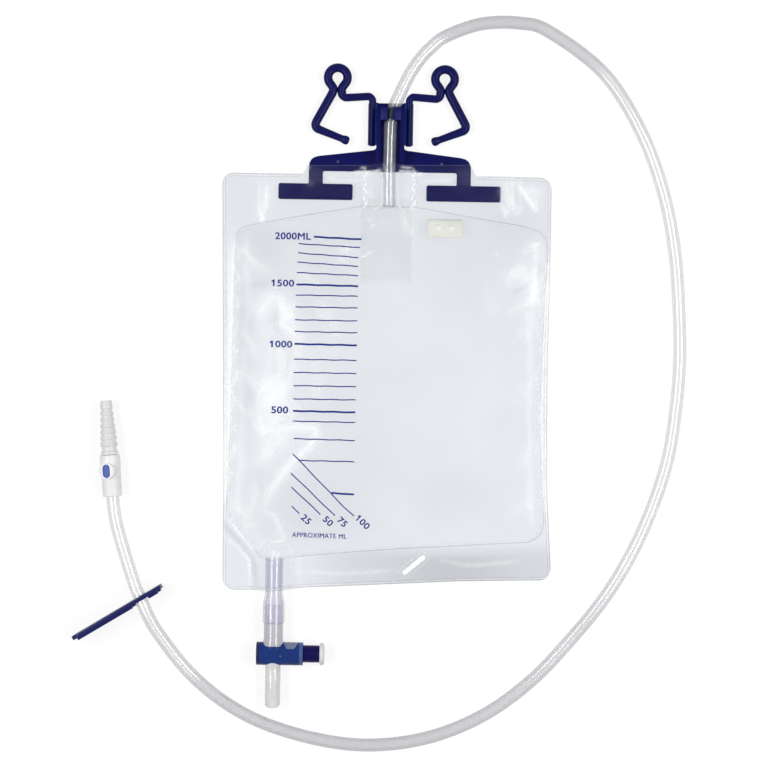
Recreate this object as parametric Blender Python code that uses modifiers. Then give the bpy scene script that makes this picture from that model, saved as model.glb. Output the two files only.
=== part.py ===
"""Two-litre urine drainage bag, lying flat on its back with its hanger at the top.

Metres, +Z up. The bag's back film lies on z = 0, +Y points to the hanger and the
origin is under the middle of the bag with its hanger and tap.

The bag is two clear films welded round their rim. The hanger's T-bars, the end of
the drain tube with its two-ply flap valve and the top of the outlet tube are held
between the films. The hooks swivel in C-shaped sockets on the hanger's column, the
tap is a spool that slides across its barrel, and the drain tube ends in a stepped
connector with a needle-free sampling port. A slide clamp rides on the tube.
"""

import math

import bmesh
import bpy
from mathutils import Matrix, Vector

# ---------------------------------------------------------------- clearances
TOUCH = 0.0003  # between two pieces that touch
SWIVEL_CLEARANCE = 0.0003  # hook leg in its socket
BORE_CLEARANCE = 0.0004  # spool in the tap's barrel

# ---------------------------------------------------------------- film bag
FILM = 0.00035  # one ply of the bag
BAG_WIDTH = 0.231
BAG_WAIST = 0.0022  # each side draws in by this at mid height
BAG_BOTTOM = -0.1429  # lower left corner
BAG_HEIGHT = 0.2917
TOP_FALL = 0.0039  # the top edge is lower on the right
BOTTOM_RISE = 0.0058  # and the bottom edge is higher there
BAG_CORNER = 0.0080
HEADER_RISE = 0.0049  # the tab that covers the foot of the hanger
HEADER_WIDTH = 0.1204
HEADER_MIDDLE = 0.0028
HEADER_CORNER = 0.0025
SLOT_LENGTH = 0.0190
SLOT_WIDTH = 0.0034
SLOT_PLACE = (0.0188, 0.0157)  # from the middle of the bottom edge
SLOT_SLANT = math.radians(41)

SIDE_WELD = 0.0062
LEFT_WELD_AT_TOP = 0.0098
FUNNEL_DROP = 0.0294  # the floor of the reservoir slopes to the outlet on this height
FUNNEL_WIDTH = 0.0220
BOTTOM_WELD = 0.0222
TOP_WELD = 0.0245
RESERVOIR_SHOULDER = 0.0140
RESERVOIR_RISE = 0.0080  # how far the front film stands off the back film
PILLOW_EDGE = 0.0220  # and how far in from the weld it reaches that

# ---------------------------------------------------------------- drain tube
TUBE = 0.0090
TUBE_IN_BAG = 0.0297  # its end, below the top edge of the header
TUBE_MIDDLE = 0.0014

VALVE_FILM = 0.00025
VALVE_WIDTH = 0.0350
VALVE_LENGTH = 0.0560
VALVE_ABOVE_END = 0.0060
VALVE_MIDDLE = -0.0007

FILTER_LENGTH = 0.0243
FILTER_WIDTH = 0.0126
FILTER_THICKNESS = 0.0006
FILTER_PLACE = (0.0406, 0.0398)  # from the middle of the bag's top edge
FILTER_DOT = 0.0042
FILTER_DOT_PITCH = 0.0091
FILTER_DOT_RISE = 0.0007

# ---------------------------------------------------------------- hanger
HANGER_LEAN = math.radians(-0.95)
HANGER_MIDDLE = 0.0020
HANGER_BELOW_TAB = 0.0047  # lower edge of its arms, below the tab's top edge
PLATE = 0.0022
ARM_HEIGHT_INSIDE = 0.0153
ARM_HEIGHT_OUTSIDE = 0.0104
ARM_REACH = 0.0568
ARM_CORNER = 0.0080
LEG_WIDTH = 0.0099
T_BAR_LENGTH = 0.0520
T_BAR_WIDTH = 0.0111
T_BAR_DROP = 0.0090  # from the arms' lower edge to the top of the bar
T_BAR_CORNER = 0.0015
COLUMN_WIDTH = 0.0195
COLUMN_TOP = 0.0480
COLUMN_FILLET = 0.0028
CHANNEL_WIDTH = 0.0140
CHANNEL_FOOT = 0.0056
LEAD_IN = 0.0039  # the column's top is left open for the tube to bend over
FINGER_LENGTH = 0.0092
FINGER_GAP = 0.0042
FINGER_THICKNESS = 0.0017

# ---------------------------------------------------------------- hooks
HOOK_ROD = 0.0052  # its leg
HOOK_LOOP_ROD = 0.0057  # and the loop and the arms beyond it
SOCKET_WALL = 0.0014
SOCKET_LIP = 0.0009
SOCKET_LENGTH = 0.0292
SOCKET_FRONT = math.radians(52)  # how far the socket wraps the leg, from the column
SOCKET_BACK = math.radians(-142)
HOOK_AXIS = 0.01285  # from the hanger's middle to the leg
HOOK_FOOT = 0.0177
HOOK_ARM = 0.0523
HOOK_BEND = 0.0033
HOOK_TURN = 0.0034  # bend from the arm up into the ring
RING_RADIUS = 0.0069
RING_PLACE = (0.0375, 0.0653)
NECK_GAP = 0.0003
NECK_HEIGHT = 0.0577  # the strands run side by side up to here
HOOK_ELBOW = (0.0541, 0.0303)
HOOK_ELBOW_REACH = 0.0050
HOOK_TIP = (0.0314, 0.0216)
HOOK_TIP_ROD = 0.0041
HOOK_BULB = 0.0059

# ---------------------------------------------------------------- outlet and tap
OUTLET_LEAN = math.radians(-0.85)
OUTLET_FROM_SIDE = 0.0367  # from the bag's left side, at its bottom edge
OUTLET_MIDDLE = -BAG_WIDTH / 2 + OUTLET_FROM_SIDE
OUTLET_TUBE = 0.0124
OUTLET_WALL = 0.0012
OUTLET_IN_BAG = 0.0207
TAP_BELOW_BAG = 0.0456  # from the bag's edge to the barrel's axis
SOCKET_OVER_SPIGOT = 0.0136
SPIGOT_INSERT = 0.0122
SPIGOT = 0.0134
SPIGOT_NECK = 0.0210  # from the barrel's axis to the end of the outlet tube
SPIGOT_BORE = 0.0086
BARREL = 0.0162
BARREL_LEFT = 0.0115
BARREL_RIGHT = 0.0209
NOZZLE = 0.0107
NOZZLE_BORE = 0.0078
NOZZLE_LENGTH = 0.0375
NOZZLE_SLANT = 0.0049  # the upper side of its mouth is cut back by this
PLUNGER = 0.0120
PLUNGER_OUT = 0.0113  # how far it stands out of the barrel, and can be pushed
PUSH_STOP = 0.0008
SEAL_SECTION = 0.0016
SEAL_FROM_BORE = 0.0019
CAP = 0.0155
CAP_THICKNESS = 0.0032
CAP_PIN = 0.0060
CAP_PIN_DEPTH = 0.0016

# ---------------------------------------------------------------- connector and port
CONNECTOR_FOOT = (-0.1916, -0.0780)
CONNECTOR_TURN = math.radians(3.94)
PORT_ROLL = math.radians(12)
BODY_LENGTH = 0.0290
BODY_TOP = 0.0144
BODY_FOOT = 0.0134
TUBE_SOCKET = 0.0120
CHAMBER_BORE = 0.0062
SPIGOT_SOCKET = 0.0080
CONNECTOR_SPIGOT = 0.0094
CONNECTOR_LENGTH = 0.0670  # whole connector, from the body's foot to the tip
NECK = 0.0100
COLLAR = 0.0122
BARBS = 7
FIRST_BARB = 0.0356
BARB_PITCH = 0.0043
BARB_AT_FOOT = 0.0127
BARB_AT_TIP = 0.0087
BARB_STEP = 0.0011
TIP = 0.0077
TIP_BORE = 0.0050
PORT_HEIGHT = 0.0180  # along the body
PORT_BOSS = 0.0112
PORT_BOSS_RISE = 0.0019
SEPTUM_LENGTH = 0.0088
SEPTUM_WIDTH = 0.0045
SEPTUM_DEPTH = 0.0030
SEPTUM_RISE = 0.0005

# ---------------------------------------------------------------- slide clamp
CLAMP_HOLE_PLACE = (-0.1719, -0.1489)
CLAMP_TURN = math.radians(30.5)
CLAMP_LENGTH = 0.0712
CLAMP_HEIGHT = 0.0190
CLAMP_PLATE = 0.0028
CLAMP_RIM = 0.0016  # the rims stand out by this on one face
CLAMP_RIM_WIDTH = 0.0026
CLAMP_CORNER = 0.0060
CLAMP_HOLE_FROM_END = 0.0170
CLAMP_HOLE = 0.0104
CLAMP_THROAT = 0.0120  # length over which the hole narrows
CLAMP_PINCH = 0.0030
CLAMP_TRAVEL = 0.0280

# ---------------------------------------------------------------- worked-out sizes
BACK_TOP = FILM
INSIDE = BACK_TOP + TOUCH  # what lies on the back film starts here
WELD_LEVEL = INSIDE
BAG_TOP = BAG_BOTTOM + BAG_HEIGHT
TAB_TOP = BAG_TOP + HEADER_RISE
TUBE_END = TAB_TOP - TUBE_IN_BAG
VALVE_TOP = TUBE_END + VALVE_ABOVE_END
VALVE_BOTTOM = VALVE_TOP - VALVE_LENGTH
HANGER_FOOT = TAB_TOP - HANGER_BELOW_TAB
PLATE_TOP = INSIDE + PLATE
TUBE_IN_CHANNEL_Z = PLATE_TOP + TOUCH + TUBE / 2
TUBE_IN_BAG_Z = INSIDE + VALVE_FILM + TOUCH + TUBE / 2
FLAP_DRAPE = TUBE / 2 + 0.0005  # the front flap lies this far from the tube's axis
FILM_DRAPE = FLAP_DRAPE + VALVE_FILM + 0.00045
SOCKET_RADIUS = HOOK_ROD / 2 + SWIVEL_CLEARANCE
HOOK_Z = SOCKET_RADIUS + SOCKET_WALL
BARREL_Z = BARREL / 2
OUTLET_EDGE = BAG_BOTTOM + BOTTOM_RISE * 0.17
OUTLET_TOP = OUTLET_EDGE + OUTLET_IN_BAG
OUTLET_DRAPE = OUTLET_TUBE / 2 + 0.0007
BARREL_BORE = PLUNGER + 2 * BORE_CLEARANCE
CONNECTOR_Z = BODY_TOP / 2
CLAMP_Z = CLAMP_HEIGHT / 2
ROW = 0.004  # pitch of the film's grid where it passes over something
SQRT2 = math.sqrt(2)


# ---------------------------------------------------------------- scene helpers
def clear_scene():
    for thing in list(bpy.data.objects):
        bpy.data.objects.remove(thing, do_unlink=True)
    for group in list(bpy.data.collections):
        bpy.data.collections.remove(group)


def new_collection(name):
    group = bpy.data.collections.new(name)
    bpy.context.scene.collection.children.link(group)
    return group


def look(name, colour, roughness, alpha=1.0):
    material = bpy.data.materials.new(name)
    material.use_nodes = True
    shader = material.node_tree.nodes["Principled BSDF"]
    shader.inputs["Base Color"].default_value = (*colour, 1.0)
    shader.inputs["Roughness"].default_value = roughness
    shader.inputs["Metallic"].default_value = 0.0
    shader.inputs["Alpha"].default_value = alpha
    material.diffuse_color = (*colour, alpha)
    return material


def add(group, name, mesh, material=None, smooth_angle=None):
    thing = bpy.data.objects.new(name, mesh)
    group.objects.link(thing)
    if material:
        mesh.materials.append(material)
    if smooth_angle is not None:
        mesh.shade_smooth()
        mesh.set_sharp_from_angle(angle=smooth_angle)
    return thing


def parent_to(child, parent):
    child.parent = parent


def anchor(group, name, place, turn=0.0):
    """An empty that carries an assembly: where it stands, and its turn about Z."""
    empty = bpy.data.objects.new(name, None)
    empty.location = place
    empty.rotation_euler = (0.0, 0.0, turn)
    group.objects.link(empty)
    return empty


def as_cutter(thing):
    thing.hide_render = True
    thing.display_type = "WIRE"
    return thing


def boolean(thing, other, operation):
    step = thing.modifiers.new(f"{operation.title()} {other.name}", "BOOLEAN")
    step.operation = operation
    step.object = other
    step.solver = "EXACT"


def bevel(thing, width, segments=2, angle=math.radians(40)):
    step = thing.modifiers.new("Bevel", "BEVEL")
    step.width = width
    step.segments = segments
    step.limit_method = "ANGLE"
    step.angle_limit = angle


# ---------------------------------------------------------------- shape helpers
def rounded(corners, segments=5):
    """An outline through corners given as (x, y, radius), each rounded by an arc."""
    points = []
    for i, (x, y, radius) in enumerate(corners):
        here = Vector((x, y))
        back = Vector(corners[i - 1][:2]) - here
        ahead = Vector(corners[(i + 1) % len(corners)][:2]) - here
        opening = back.angle(ahead)
        if radius <= 0 or opening > math.radians(175):
            points.append(here)
            continue
        reach = radius / math.tan(opening / 2)
        reach = min(reach, 0.45 * back.length, 0.45 * ahead.length)
        start = here + back.normalized() * reach
        end = here + ahead.normalized() * reach
        for k in range(segments + 1):
            t = k / segments
            points.append(
                start.lerp(here, t).lerp(here.lerp(end, t), t)
            )
    return [(p.x, p.y) for p in points]


def prism(group, name, outline, thickness, material=None, smooth_angle=None):
    """A flat outline in the XY plane, extruded by half its thickness each way."""
    curve = bpy.data.curves.new(name, "CURVE")
    curve.dimensions = "2D"
    curve.fill_mode = "BOTH"
    curve.extrude = thickness / 2
    spline = curve.splines.new("POLY")
    spline.points.add(len(outline) - 1)
    for point, (x, y) in zip(spline.points, outline):
        point.co = (x, y, 0.0, 1.0)
    spline.use_cyclic_u = True
    return solid_from_curve(group, name, curve, material, smooth_angle)


def solid_from_curve(group, name, curve, material=None, smooth_angle=None):
    guide = bpy.data.objects.new(f"{name} guide", curve)
    bpy.context.scene.collection.objects.link(guide)
    depsgraph = bpy.context.evaluated_depsgraph_get()
    mesh = bpy.data.meshes.new_from_object(guide.evaluated_get(depsgraph))
    mesh.name = name
    bpy.data.objects.remove(guide, do_unlink=True)
    bpy.data.curves.remove(curve)
    shape = bmesh.new()
    shape.from_mesh(mesh)
    bmesh.ops.remove_doubles(shape, verts=shape.verts, dist=0.00001)
    bmesh.ops.recalc_face_normals(shape, faces=shape.faces)
    shape.to_mesh(mesh)
    shape.free()
    mesh.materials.clear()
    return add(group, name, mesh, material, smooth_angle)


def rod(group, name, points, thickness, material=None, sides=3, widths=None):
    """A round rod or tube through points, with filled ends."""
    curve = bpy.data.curves.new(name, "CURVE")
    curve.dimensions = "3D"
    curve.bevel_depth = thickness / 2
    curve.bevel_resolution = sides
    curve.use_fill_caps = True
    spline = curve.splines.new("POLY")
    spline.points.add(len(points) - 1)
    for i, (point, place) in enumerate(zip(spline.points, points)):
        point.co = (*place, 1.0)
        point.radius = widths[i] if widths else 1.0
    return solid_from_curve(group, name, curve, material, math.radians(40))


def turned(group, name, profile, segments, material=None, closed=False):
    """A profile of (radius, height), from the top down its outer side, turned about Z."""
    shape = bmesh.new()
    points = [shape.verts.new((radius, 0.0, height)) for radius, height in profile]
    for one, two in zip(points, points[1:]):
        shape.edges.new((one, two))
    if closed:
        shape.edges.new((points[-1], points[0]))
    mesh = bpy.data.meshes.new(name)
    shape.to_mesh(mesh)
    shape.free()
    thing = add(group, name, mesh, material)
    step = thing.modifiers.new("Screw", "SCREW")
    step.axis = "Z"
    step.steps = segments
    step.render_steps = segments
    step.use_merge_vertices = True
    step.merge_threshold = 0.00001
    step.use_smooth_shade = True
    return thing


def cylinder(group, name, diameter, start, end, segments=32):
    """A cylinder between two points."""
    start, end = Vector(start), Vector(end)
    shape = bmesh.new()
    bmesh.ops.create_cone(
        shape,
        cap_ends=True,
        segments=segments,
        radius1=diameter / 2,
        radius2=diameter / 2,
        depth=(end - start).length,
    )
    turn = (end - start).to_track_quat("Z", "Y").to_matrix().to_4x4()
    bmesh.ops.transform(
        shape, matrix=Matrix.Translation((start + end) / 2) @ turn, verts=shape.verts
    )
    mesh = bpy.data.meshes.new(name)
    shape.to_mesh(mesh)
    shape.free()
    return add(group, name, mesh)


def box(group, name, low, high):
    """A box between two opposite corners."""
    low, high = Vector(low), Vector(high)
    shape = bmesh.new()
    bmesh.ops.create_cube(shape, size=1.0)
    bmesh.ops.scale(shape, vec=high - low, verts=shape.verts)
    bmesh.ops.translate(shape, vec=(low + high) / 2, verts=shape.verts)
    mesh = bpy.data.meshes.new(name)
    shape.to_mesh(mesh)
    shape.free()
    return add(group, name, mesh)


def smooth_path(route, pitch):
    """Points every pitch along a smooth curve through the route's own points."""
    route = [Vector(p) for p in route]
    ends = [2 * route[0] - route[1], *route, 2 * route[-1] - route[-2]]
    fine = []
    for a, b, c, d in zip(ends, ends[1:], ends[2:], ends[3:]):
        for k in range(24):
            t = k / 24
            fine.append(
                0.5
                * (
                    2 * b
                    + (c - a) * t
                    + (2 * a - 5 * b + 4 * c - d) * t**2
                    + (3 * b - a - 3 * c + d) * t**3
                )
            )
    fine.append(route[-1])
    along = [0.0]
    for one, two in zip(fine, fine[1:]):
        along.append(along[-1] + (two - one).length)
    count = max(2, round(along[-1] / pitch))
    points, i = [], 0
    for k in range(count + 1):
        want = along[-1] * k / count
        while i < len(along) - 2 and along[i + 1] < want:
            i += 1
        share = (want - along[i]) / max(along[i + 1] - along[i], 1e-9)
        points.append(fine[i].lerp(fine[i + 1], min(1.0, max(0.0, share))))
    return points


def lines(*runs):
    """Grid lines from runs of (start, stop, pitch) that follow on from each other."""
    places = [runs[0][0]]
    for start, stop, pitch in runs:
        count = max(1, round((stop - start) / pitch))
        places += [start + (stop - start) * k / count for k in range(1, count + 1)]
    return places


def sheet(group, name, xs, ys, underside, thickness, material):
    """A film over a grid of lines, lying at the height that underside(x, y) gives."""
    shape = bmesh.new()
    bmesh.ops.create_grid(
        shape, x_segments=len(xs) - 1, y_segments=len(ys) - 1, size=1.0
    )
    for point in shape.verts:
        x = xs[round((point.co.x + 1) / 2 * (len(xs) - 1))]
        y = ys[round((point.co.y + 1) / 2 * (len(ys) - 1))]
        point.co = (x, y, underside(x, y))
    mesh = bpy.data.meshes.new(name)
    shape.to_mesh(mesh)
    shape.free()
    thing = add(group, name, mesh, material)
    mesh.shade_smooth()
    step = thing.modifiers.new("Solidify", "SOLIDIFY")
    step.thickness = thickness
    step.offset = 1.0
    return thing


def ease(t):
    t = min(1.0, max(0.0, t))
    return t * t * (3 - 2 * t)


# ---------------------------------------------------------------- heights of the films
def bag_outline():
    half = BAG_WIDTH / 2
    middle = BAG_BOTTOM + BAG_HEIGHT / 2
    tab_left = HEADER_MIDDLE - HEADER_WIDTH / 2
    tab_right = HEADER_MIDDLE + HEADER_WIDTH / 2
    low_right = BAG_BOTTOM + BOTTOM_RISE
    high_right = BAG_TOP - TOP_FALL
    return [
        (-half, BAG_BOTTOM, BAG_CORNER),
        (0.0, BAG_BOTTOM + 0.6 * BOTTOM_RISE, 0.0),
        (half, low_right, BAG_CORNER),
        (half - BAG_WAIST, middle - BAG_HEIGHT / 4, 0.0),
        (half - BAG_WAIST, middle, 0.0),
        (half, high_right, BAG_CORNER),
        (tab_right + 2 * HEADER_CORNER, high_right, HEADER_CORNER),
        (tab_right, TAB_TOP, HEADER_CORNER),
        (tab_left, TAB_TOP, HEADER_CORNER),
        (tab_left - 2 * HEADER_CORNER, BAG_TOP - TOP_FALL / 3, HEADER_CORNER),
        (-half, BAG_TOP, BAG_CORNER),
    ]


def reservoir_outline():
    half = BAG_WIDTH / 2
    right_floor = BAG_BOTTOM + BOTTOM_RISE + BOTTOM_WELD + TOUCH
    roof = BAG_TOP - TOP_WELD
    funnel = OUTLET_MIDDLE - FUNNEL_WIDTH / 2
    return [
        (-half + LEFT_WELD_AT_TOP, roof - 2 * RESERVOIR_SHOULDER / 2),
        (-half + SIDE_WELD / 2, OUTLET_TOP + FUNNEL_DROP),
        (funnel, OUTLET_TOP),
        (OUTLET_MIDDLE + FUNNEL_WIDTH / 2, OUTLET_TOP),
        (half - 2 * SIDE_WELD, right_floor),
        (half - SIDE_WELD, right_floor + 2 * SIDE_WELD),
        (half - SIDE_WELD / 2, roof - RESERVOIR_SHOULDER),
        (VALVE_MIDDLE + VALVE_WIDTH / 2, roof),
        (VALVE_MIDDLE - VALVE_WIDTH / 2, roof),
    ]


def depth_inside(x, y, corners):
    """How far a point lies inside an outline, and 0 outside it."""
    inside, nearest = False, math.inf
    for (ax, ay), (bx, by) in zip(corners, corners[1:] + corners[:1]):
        if (ay > y) != (by > y) and x < (bx - ax) * (y - ay) / (by - ay) + ax:
            inside = not inside
        long = (bx - ax) ** 2 + (by - ay) ** 2
        t = min(1.0, max(0.0, ((x - ax) * (bx - ax) + (y - ay) * (by - ay)) / long))
        nearest = min(nearest, math.hypot(x - ax - t * (bx - ax), y - ay - t * (by - ay)))
    return nearest if inside else 0.0


def drape(offset, radius, height):
    """A film over a round tube: round over the top, then straight down at 45 degrees."""
    offset = abs(offset)
    if offset < radius / SQRT2:
        return height + math.sqrt(radius**2 - offset**2)
    return height + radius * SQRT2 - offset


def tube_height(y):
    """The drain tube's axis rises from the flap valve to the hanger's channel."""
    climb = ease((y - VALVE_TOP) / (HANGER_FOOT - 0.001 - VALVE_TOP))
    return TUBE_IN_BAG_Z + climb * (TUBE_IN_CHANNEL_Z - TUBE_IN_BAG_Z)


def outlet_offset(x, y):
    """How far a point lies to the side of the outlet's leaning axis."""
    return (x - OUTLET_MIDDLE - math.tan(-OUTLET_LEAN) * (y - OUTLET_EDGE)) * math.cos(
        OUTLET_LEAN
    )


def back_underside(x, y):
    """The back film lies flat, and rises a little where the outlet tube is welded in."""
    lift = BARREL_Z - OUTLET_TUBE / 2 - TOUCH - FILM
    across = ease((0.016 - abs(outlet_offset(x, y))) / 0.010)
    along = ease((OUTLET_TOP + 0.020 - y) / 0.018)
    return lift * across * along


def flap_underside(x, y):
    level = INSIDE + VALVE_FILM + TOUCH
    past_end = max(0.0, TUBE_END - ROW - y)
    over = drape(x - TUBE_MIDDLE, FLAP_DRAPE, tube_height(y)) - past_end * 0.35
    return max(level, over)


def front_underside(x, y):
    pocket_level = PLATE_TOP + TOUCH + 0.0001
    bar_end = T_BAR_LENGTH / 2 + ARM_REACH - LEG_WIDTH / 2 + 0.006
    bar_foot = HANGER_FOOT - T_BAR_DROP - T_BAR_WIDTH - 0.005
    pocket = (
        WELD_LEVEL
        + (pocket_level - WELD_LEVEL)
        * ease((bar_end + 0.009 - abs(x - HANGER_MIDDLE)) / 0.008)
        * ease((y - bar_foot + 0.008) / 0.007)
    )
    depth = depth_inside(x, y, reservoir_outline())
    pillow = WELD_LEVEL + RESERVOIR_RISE * math.sqrt(
        1 - (1 - min(1.0, depth / PILLOW_EDGE)) ** 2
    )
    sleeve = INSIDE + 2 * VALVE_FILM + 2 * TOUCH
    if not (
        abs(x - VALVE_MIDDLE) < VALVE_WIDTH / 2 + 0.004
        and VALVE_BOTTOM - 0.004 < y < VALVE_TOP + 0.004
    ):
        sleeve = WELD_LEVEL
    past_end = max(0.0, TUBE_END - ROW - y)
    over_tube = drape(x - TUBE_MIDDLE, FILM_DRAPE, tube_height(y)) - past_end * 0.35
    past_top = max(0.0, y - OUTLET_TOP - ROW)
    over_outlet = drape(outlet_offset(x, y), OUTLET_DRAPE, BARREL_Z) - past_top * 0.8
    welded = back_underside(x, y) + FILM + TOUCH
    return max(pocket, pillow, sleeve, over_tube, over_outlet, welded)


# ---------------------------------------------------------------- the bag
def make_bag(parts, cutters):
    film = look("clear PVC film", (0.80, 0.81, 0.84), 0.20, 0.35)
    valve_film = look("valve film", (0.78, 0.78, 0.80), 0.30, 0.45)
    felt = look("filter felt", (0.84, 0.83, 0.74), 0.70)

    rim = as_cutter(prism(cutters, "bag rim", rounded(bag_outline()), 0.08))
    slot_end = SLOT_WIDTH / 2
    straight = SLOT_LENGTH / 2 - slot_end
    slot_outline = [
        (
            side * straight + slot_end * math.cos(math.radians(a)),
            slot_end * math.sin(math.radians(a)),
        )
        for side, first in ((1, -90), (-1, 90))
        for a in range(first, first + 181, 30)
    ]
    slot = as_cutter(prism(cutters, "rim slot", slot_outline, 0.08))
    slot.location = (
        SLOT_PLACE[0],
        BAG_BOTTOM + 0.6 * BOTTOM_RISE + SLOT_PLACE[1],
        0.0,
    )
    slot.rotation_euler = (0.0, 0.0, SLOT_SLANT)

    half = BAG_WIDTH / 2 + 0.001
    outlet = OUTLET_MIDDLE
    low = BAG_BOTTOM - 0.001
    xs = lines(
        (-half, outlet - 0.018, 0.010),
        (outlet - 0.018, outlet + 0.018, 0.003),
        (outlet + 0.018, -0.0132, 0.012),
        (-0.0132, TUBE_MIDDLE - 0.0058, 0.003),
        (TUBE_MIDDLE - 0.0058, TUBE_MIDDLE + 0.0058, 0.00145),
        (TUBE_MIDDLE + 0.0058, 0.0156, 0.003),
        (0.0156, half, 0.0125),
    )
    ys = lines(
        (low, OUTLET_TOP + 0.010, ROW),
        (OUTLET_TOP + 0.010, VALVE_BOTTOM, 0.0165),
        (VALVE_BOTTOM, TUBE_END - 0.012, 0.0100),
        (TUBE_END - 0.012, TAB_TOP + 0.001, ROW),
    )
    front = sheet(parts, "front_film", xs, ys, front_underside, FILM, film)
    boolean(front, rim, "INTERSECT")
    boolean(front, slot, "DIFFERENCE")

    back_xs = lines(
        (-half, outlet - 0.018, 0.010),
        (outlet - 0.018, outlet + 0.018, 0.004),
        (outlet + 0.018, half, 0.060),
    )
    back_ys = lines(
        (low, OUTLET_TOP + 0.022, 0.006),
        (OUTLET_TOP + 0.022, TAB_TOP + 0.001, 0.080),
    )
    back = sheet(parts, "back_film", back_xs, back_ys, back_underside, FILM, film)
    boolean(back, rim, "INTERSECT")
    boolean(back, slot, "DIFFERENCE")

    valve_xs = [
        VALVE_MIDDLE - VALVE_WIDTH / 2,
        *[x for x in xs if abs(x - VALVE_MIDDLE) < VALVE_WIDTH / 2 - 0.001],
        VALVE_MIDDLE + VALVE_WIDTH / 2,
    ]
    valve_ys = [
        *[y for y in ys if VALVE_BOTTOM - 0.0001 < y < VALVE_TOP - 0.001],
        VALVE_TOP,
    ]
    sheet(
        parts,
        "valve_front_flap",
        valve_xs,
        valve_ys,
        flap_underside,
        VALVE_FILM,
        valve_film,
    )
    sheet(
        parts,
        "valve_back_flap",
        [valve_xs[0], valve_xs[-1]],
        [VALVE_BOTTOM - 0.003, VALVE_TOP],
        lambda x, y: INSIDE,
        VALVE_FILM,
        valve_film,
    )

    # The filter is welded on the front film, and follows it.
    x0, y0 = FILTER_PLACE[0], TAB_TOP - FILTER_PLACE[1]
    over_xs = [x0 - FILTER_LENGTH / 2]
    over_xs += [x for x in xs if abs(x - x0) < FILTER_LENGTH / 2 - 0.0005]
    over_xs += [x0 + FILTER_LENGTH / 2]
    over_ys = [y0 - FILTER_WIDTH / 2]
    over_ys += [y for y in ys if abs(y - y0) < FILTER_WIDTH / 2 - 0.0005]
    over_ys += [y0 + FILTER_WIDTH / 2]

    def on_film(x, y):
        """On the film between the grid lines that run either side of the point."""
        left = max(a for a in xs if a <= x)
        below = max(a for a in ys if a <= y)
        right = min(a for a in xs if a > left)
        above = min(a for a in ys if a > below)
        s, t = (x - left) / (right - left), (y - below) / (above - below)
        lower = front_underside(left, below) * (1 - s) + front_underside(right, below) * s
        upper = front_underside(left, above) * (1 - s) + front_underside(right, above) * s
        return lower * (1 - t) + upper * t + 1.2 * FILM + 2 * TOUCH

    vent = sheet(parts, "vent_filter", over_xs, over_ys, on_film, FILTER_THICKNESS, felt)
    for side in (-1, 1):
        x = x0 + side * FILTER_DOT_PITCH / 2
        foot = on_film(x, y0) + FILTER_THICKNESS / 3
        dot = cylinder(
            cutters,
            f"filter dot {'left' if side < 0 else 'right'}",
            FILTER_DOT,
            (x, y0, foot),
            (x, y0, foot + FILTER_THICKNESS + FILTER_DOT_RISE),
            16,
        )
        boolean(vent, as_cutter(dot), "UNION")


# ---------------------------------------------------------------- hanger and hooks
def hanger_outline():
    """Right half of the flat frame, from the middle of its lower edge and back."""
    leg_inner = ARM_REACH - LEG_WIDTH
    leg_middle = ARM_REACH - LEG_WIDTH / 2
    bar_top = -T_BAR_DROP
    bar_foot = bar_top - T_BAR_WIDTH
    bar_left, bar_right = leg_middle - T_BAR_LENGTH / 2, leg_middle + T_BAR_LENGTH / 2
    half_column = COLUMN_WIDTH / 2
    right = [
        (leg_inner, 0.0, 0.0015),
        (leg_inner, bar_top, 0.0010),
        (bar_left, bar_top, T_BAR_CORNER),
        (bar_left, bar_foot, T_BAR_CORNER),
        (bar_right, bar_foot, T_BAR_CORNER),
        (bar_right, bar_top, T_BAR_CORNER),
        (ARM_REACH, bar_top, 0.0010),
        (ARM_REACH, ARM_HEIGHT_OUTSIDE - 0.0008, ARM_CORNER),
        (half_column, ARM_HEIGHT_INSIDE, COLUMN_FILLET),
        (half_column, COLUMN_TOP, 0.0012),
    ]
    left = [(-x, y, radius) for x, y, radius in reversed(right)]
    return right + left


def socket_section(side):
    """The C-shaped wall round a hook's leg, as (x, z) about the leg's axis."""
    steps = 14
    sweep = [SOCKET_FRONT + (SOCKET_BACK - SOCKET_FRONT) * k / steps for k in range(steps + 1)]
    outer = []
    for k, a in enumerate(sweep):
        wall = SOCKET_WALL
        if k in (0, steps):
            wall = SOCKET_LIP
        outer.append(((SOCKET_RADIUS + wall) * math.cos(a), (SOCKET_RADIUS + wall) * math.sin(a)))
    inner = [(SOCKET_RADIUS * math.cos(a), SOCKET_RADIUS * math.sin(a)) for a in sweep]
    section = outer + inner[::-1]
    return [(-side * x, z) for x, z in section]


def stand_up(thing):
    """Turns a section drawn in XY so that its own Y points up and it runs along Y."""
    thing.data.transform(Matrix.Rotation(math.pi / 2, 4, "X"))


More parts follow.
